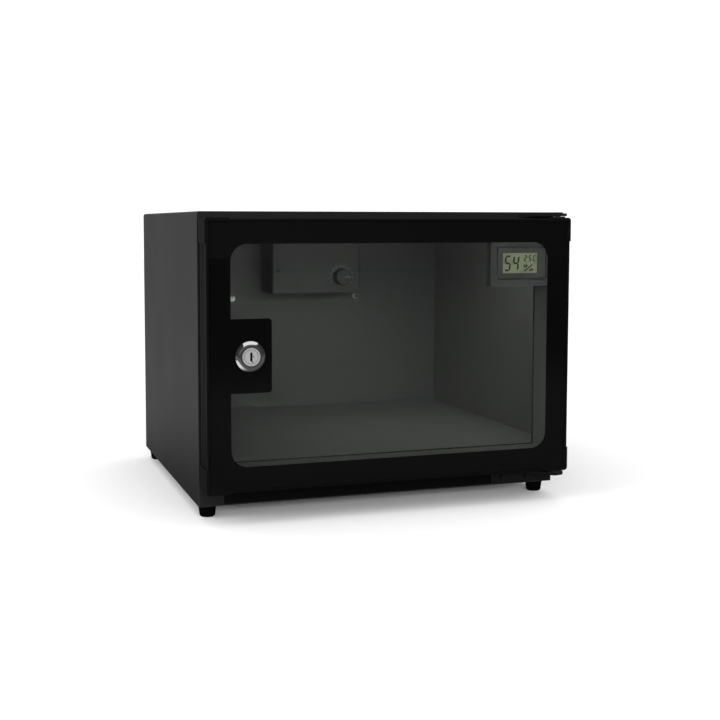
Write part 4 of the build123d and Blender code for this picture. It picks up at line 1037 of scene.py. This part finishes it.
@dataclass
class DoorSeal:
    """The rubber ring round the door's back: a foot, a folded neck and a chamber that holds the magnets."""

    width: float = 10.25 * MM
    foot: float = 0.7 * MM
    neck: float = 0.6 * MM
    fold: float = 0.7 * MM
    chamber: float = 2.9 * MM
    crown: float = 0.5 * MM
    crown_inset: float = 0.4 * MM
    round_edge: float = 0.12 * MM

    def rise(self, amount: float) -> None:
        """Extrudes the chosen ring backwards by an amount."""
        bpy.ops.mesh.extrude_region_move(TRANSFORM_OT_translate={"value": (0.0, amount, 0.0)})

    def groove(self, ring: Object, start: float, end: float) -> None:
        """Folds the neck in on both sides of the ring.

        Args:
            ring: The ring, in edit mode.
            start: Where the neck begins.
            end: Where it ends.
        """
        bpy.ops.mesh.select_all(action="SELECT")
        bpy.ops.mesh.normals_make_consistent(inside=False)
        bpy.ops.mesh.select_all(action="DESELECT")
        bpy.ops.object.mode_set(mode="OBJECT")
        for face in ring.data.polygons:
            face.select = abs(face.normal.y) < 0.5 and start < face.center.y < end
        bpy.ops.object.mode_set(mode="EDIT")
        bpy.ops.mesh.extrude_region_shrink_fatten(
            TRANSFORM_OT_shrink_fatten={"value": -self.fold, "use_even_offset": True})
        bpy.ops.object.mode_set(mode="OBJECT")

    def build(self) -> Object:
        """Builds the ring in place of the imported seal.

        Returns:
            The ring.
        """
        low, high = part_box("door_seal")
        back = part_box("frame_left")[1].y
        centre = (low + high) / 2
        Modeller.clear()
        bpy.ops.mesh.primitive_plane_add(size=1.0)
        ring = bpy.context.object
        ring.name = "seal_ring"
        ring.data.transform(moved(centre.x, back, centre.z) @ turned(-90.0, "X")
                            @ Matrix.Diagonal((high.x - low.x, high.z - low.z, 1.0, 1.0)))
        bpy.ops.object.mode_set(mode="EDIT")
        bpy.ops.mesh.select_mode(type="FACE")
        bpy.ops.mesh.select_all(action="SELECT")
        bpy.ops.mesh.inset(thickness=self.width)
        bpy.ops.mesh.delete(type="FACE")
        bpy.ops.mesh.select_all(action="SELECT")
        for height in (self.foot, self.neck, self.chamber):
            self.rise(height)
        bpy.ops.mesh.inset(thickness=self.crown_inset)
        self.rise(self.crown)
        self.groove(ring, back + self.foot, back + self.foot + self.neck)
        Modeller.outward(ring)
        Modeller.modify(ring, "BEVEL", width=self.round_edge, segments=2, limit_method="ANGLE")
        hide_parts("door_seal")
        return Modeller.finish(ring, "door", "seal_rubber", SEAL_RUBBER)


# ---------------------------------------------------------------- studio


@dataclass
class Studio:
    """Pale floor, soft lights and the camera."""

    eye: tuple[float, float, float] = (-0.3537, -1.0385, 0.2473)
    yaw: float = 17.82
    pitch: float = 4.34
    focal: float = 1131.96
    middle: tuple[float, float] = (320.0, 310.0)
    frame_side: float = 720.0
    sensor: float = 36.0
    floor_side: float = 14.0
    floor_fade: tuple[float, float] = (-0.1, 0.5)
    floor_bounce: float = 0.6
    dark_fade: tuple[float, float] = (-1.25, -0.62)
    glow_place: tuple[float, float, float] = (-0.31, -0.22, 0.003)
    glow_fade: tuple[float, float] = (0.09, 0.20)
    surround: float = 1.15
    mirror_back: tuple[float, float, float, float] = (-0.1, 0.6, 0.03, 0.27)
    mirror_front: tuple[float, float, float, float] = (-1.0, -0.75, 0.07, 0.0)

    def camera(self) -> None:
        """Puts the camera where the object is seen at its usual three-quarter angle."""
        data = bpy.data.cameras.new("camera")
        data.sensor_width = self.sensor
        data.lens = self.focal / self.frame_side * self.sensor
        data.shift_x = (self.frame_side / 2 - self.middle[0]) / self.frame_side
        data.shift_y = (self.middle[1] - self.frame_side / 2) / self.frame_side
        camera = bpy.data.objects.new("camera", data)
        bpy.context.scene.collection.objects.link(camera)
        camera.location = self.eye
        camera.rotation_euler = (math.radians(90.0 - self.pitch), 0.0, math.radians(-self.yaw))
        bpy.context.scene.camera = camera

    def floor(self) -> None:
        """A large pale floor."""
        Modeller.clear()
        bpy.ops.mesh.primitive_plane_add(size=self.floor_side)
        floor = bpy.context.object
        floor.name = "floor"
        material, bench = blank("pale floor")
        pale = bench.node("ShaderNodeBsdfDiffuse", {"Color": (0.90, 0.90, 0.90, 1.0)})
        split = bench.node("ShaderNodeSeparateXYZ", {0: bench.place()})
        behind = bench.spread(split.outputs["Y"], *self.floor_fade, 0.0, 1.0)
        shade = bench.blend(behind, (0.07, 0.07, 0.07, 1.0), (0.24, 0.24, 0.24, 1.0))
        dim = bench.node("ShaderNodeBsdfDiffuse", {"Color": shade})
        path = bench.node("ShaderNodeLightPath")
        bounced = bench.math("MAXIMUM", path.outputs["Is Glossy Ray"],
                             bench.math("MULTIPLY", path.outputs["Is Diffuse Ray"], self.floor_bounce))
        mixed = bench.node("ShaderNodeMixShader", {0: bounced, 1: pale.outputs[0], 2: dim.outputs[0]})
        bench.put(material.node_tree.nodes["Material Output"].inputs["Surface"], mixed.outputs[0])
        floor.data.materials.append(material)

    def card(self, name: str, size: tuple[float, float], place: Matrix, color: Color) -> Bench:
        """Adds a card that only mirrors can see.

        Args:
            name: The card's name.
            size: Its two sides.
            place: Where it stands and how it is turned.
            color: The light that it gives off.

        Returns:
            The bench of its material.
        """
        Modeller.clear()
        bpy.ops.mesh.primitive_plane_add(size=1.0)
        card = bpy.context.object
        card.name = name.replace(" ", "_")
        card.data.transform(place @ Matrix.Diagonal((*size, 1.0, 1.0)))
        material, bench = blank(name)
        glow = bench.node("ShaderNodeEmission", {"Color": (*color, 1.0), "Strength": 1.0})
        bench.put(material.node_tree.nodes["Material Output"].inputs["Surface"], glow.outputs[0])
        card.data.materials.append(material)
        for ray in ("camera", "diffuse", "shadow", "transmission", "volume_scatter"):
            setattr(card, f"visible_{ray}", False)
        return bench

    def fade(self, bench: Bench, mask: Socket) -> None:
        """Thins a card out where its mask is low.

        Args:
            bench: The bench of the card's material.
            mask: How much of the card is there.
        """
        clear = bench.node("ShaderNodeBsdfTransparent")
        glow = bench.tree.nodes["Emission"]
        mixed = bench.node("ShaderNodeMixShader", {0: mask, 1: clear.outputs[0], 2: glow.outputs[0]})
        bench.put(bench.tree.nodes["Material Output"].inputs["Surface"], mixed.outputs[0])

    def cards(self) -> None:
        """A dark card in front keeps the glass clear; a pale one overhead and a glow below light the lock's ring."""
        bench = self.card("dark card", (12.0, 6.6), moved(0.6, -3.9, 0.002), (0.045, 0.047, 0.046))
        split = bench.node("ShaderNodeSeparateXYZ", {0: bench.place()})
        self.fade(bench, bench.spread(split.outputs["Y"], *self.dark_fade, 1.0, 0.0))
        self.card("pale card", (1.45, 2.3), moved(0.17, -1.2, 1.15), (0.85, 0.85, 0.85))
        bench = self.card("ring glow", (0.5, 0.5), moved(*self.glow_place), (0.80, 0.80, 0.78))
        away = bench.node("ShaderNodeVectorMath", {0: bench.place(), 1: self.glow_place}, operation="DISTANCE")
        self.fade(bench, bench.spread(away.outputs["Value"], *self.glow_fade, 1.0, 0.0))

    def lights(self) -> None:
        """Two soft boxes, a weak one inside the case and a pale surround; the cards stand for them in mirrors."""
        for name, spot, aim, size, power in (
            ("front", (-0.45, -2.5, 0.72), (0.0, 0.0, 0.14), (2.4, 0.7), 46.0),
            ("left", (-1.9, -0.5, 1.0), (0.0, 0.0, 0.12), (1.2, 1.0), 12.0),
            ("fill", (0.05, -0.085, 0.222), (0.10, 0.15, 0.08), (0.18, 0.03), 0.11),
        ):
            data = bpy.data.lights.new(name, "AREA")
            data.shape = "RECTANGLE"
            data.size, data.size_y = size
            data.energy = power
            light = bpy.data.objects.new(name, data)
            bpy.context.scene.collection.objects.link(light)
            light.location = spot
            light.rotation_euler = (Vector(aim) - Vector(spot)).to_track_quat("-Z", "Y").to_euler()
            light.visible_camera = False
            light.visible_glossy = False
        world = bpy.data.worlds.new("surround")
        world.use_nodes = True
        bench = Bench(world.node_tree)
        mirrored = bench.node("ShaderNodeLightPath").outputs["Is Glossy Ray"]
        background = world.node_tree.nodes["Background"]
        background.inputs["Color"].default_value = (1.0, 1.0, 1.0, 1.0)
        behind = bench.node("ShaderNodeSeparateXYZ", {0: bench.node("ShaderNodeTexCoord").outputs["Generated"]})
        dim = bench.math("ADD", bench.spread(behind.outputs["Y"], *self.mirror_back),
                         bench.spread(behind.outputs["Y"], *self.mirror_front))
        bench.put(background.inputs["Strength"], bench.math("ADD", bench.math("MULTIPLY", mirrored, dim),
                  bench.math("MULTIPLY", bench.math("SUBTRACT", 1.0, mirrored), self.surround)))
        bpy.context.scene.world = world
        bpy.context.scene.view_settings.view_transform = "Standard"

    def build(self) -> None:
        """Sets up the floor, the lights and the camera."""
        self.camera()
        self.floor()
        self.cards()
        self.lights()


# ---------------------------------------------------------------- main


def main() -> None:
    """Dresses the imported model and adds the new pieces."""
    logging.basicConfig(level=logging.INFO, format="%(message)s")
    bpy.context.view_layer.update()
    dress_nodes()
    DisplayFigures().build()
    DialMarks().build()
    LockFace().build()
    DoorSeal().build()
    Studio().build()


if __name__ == "__main__":
    main()
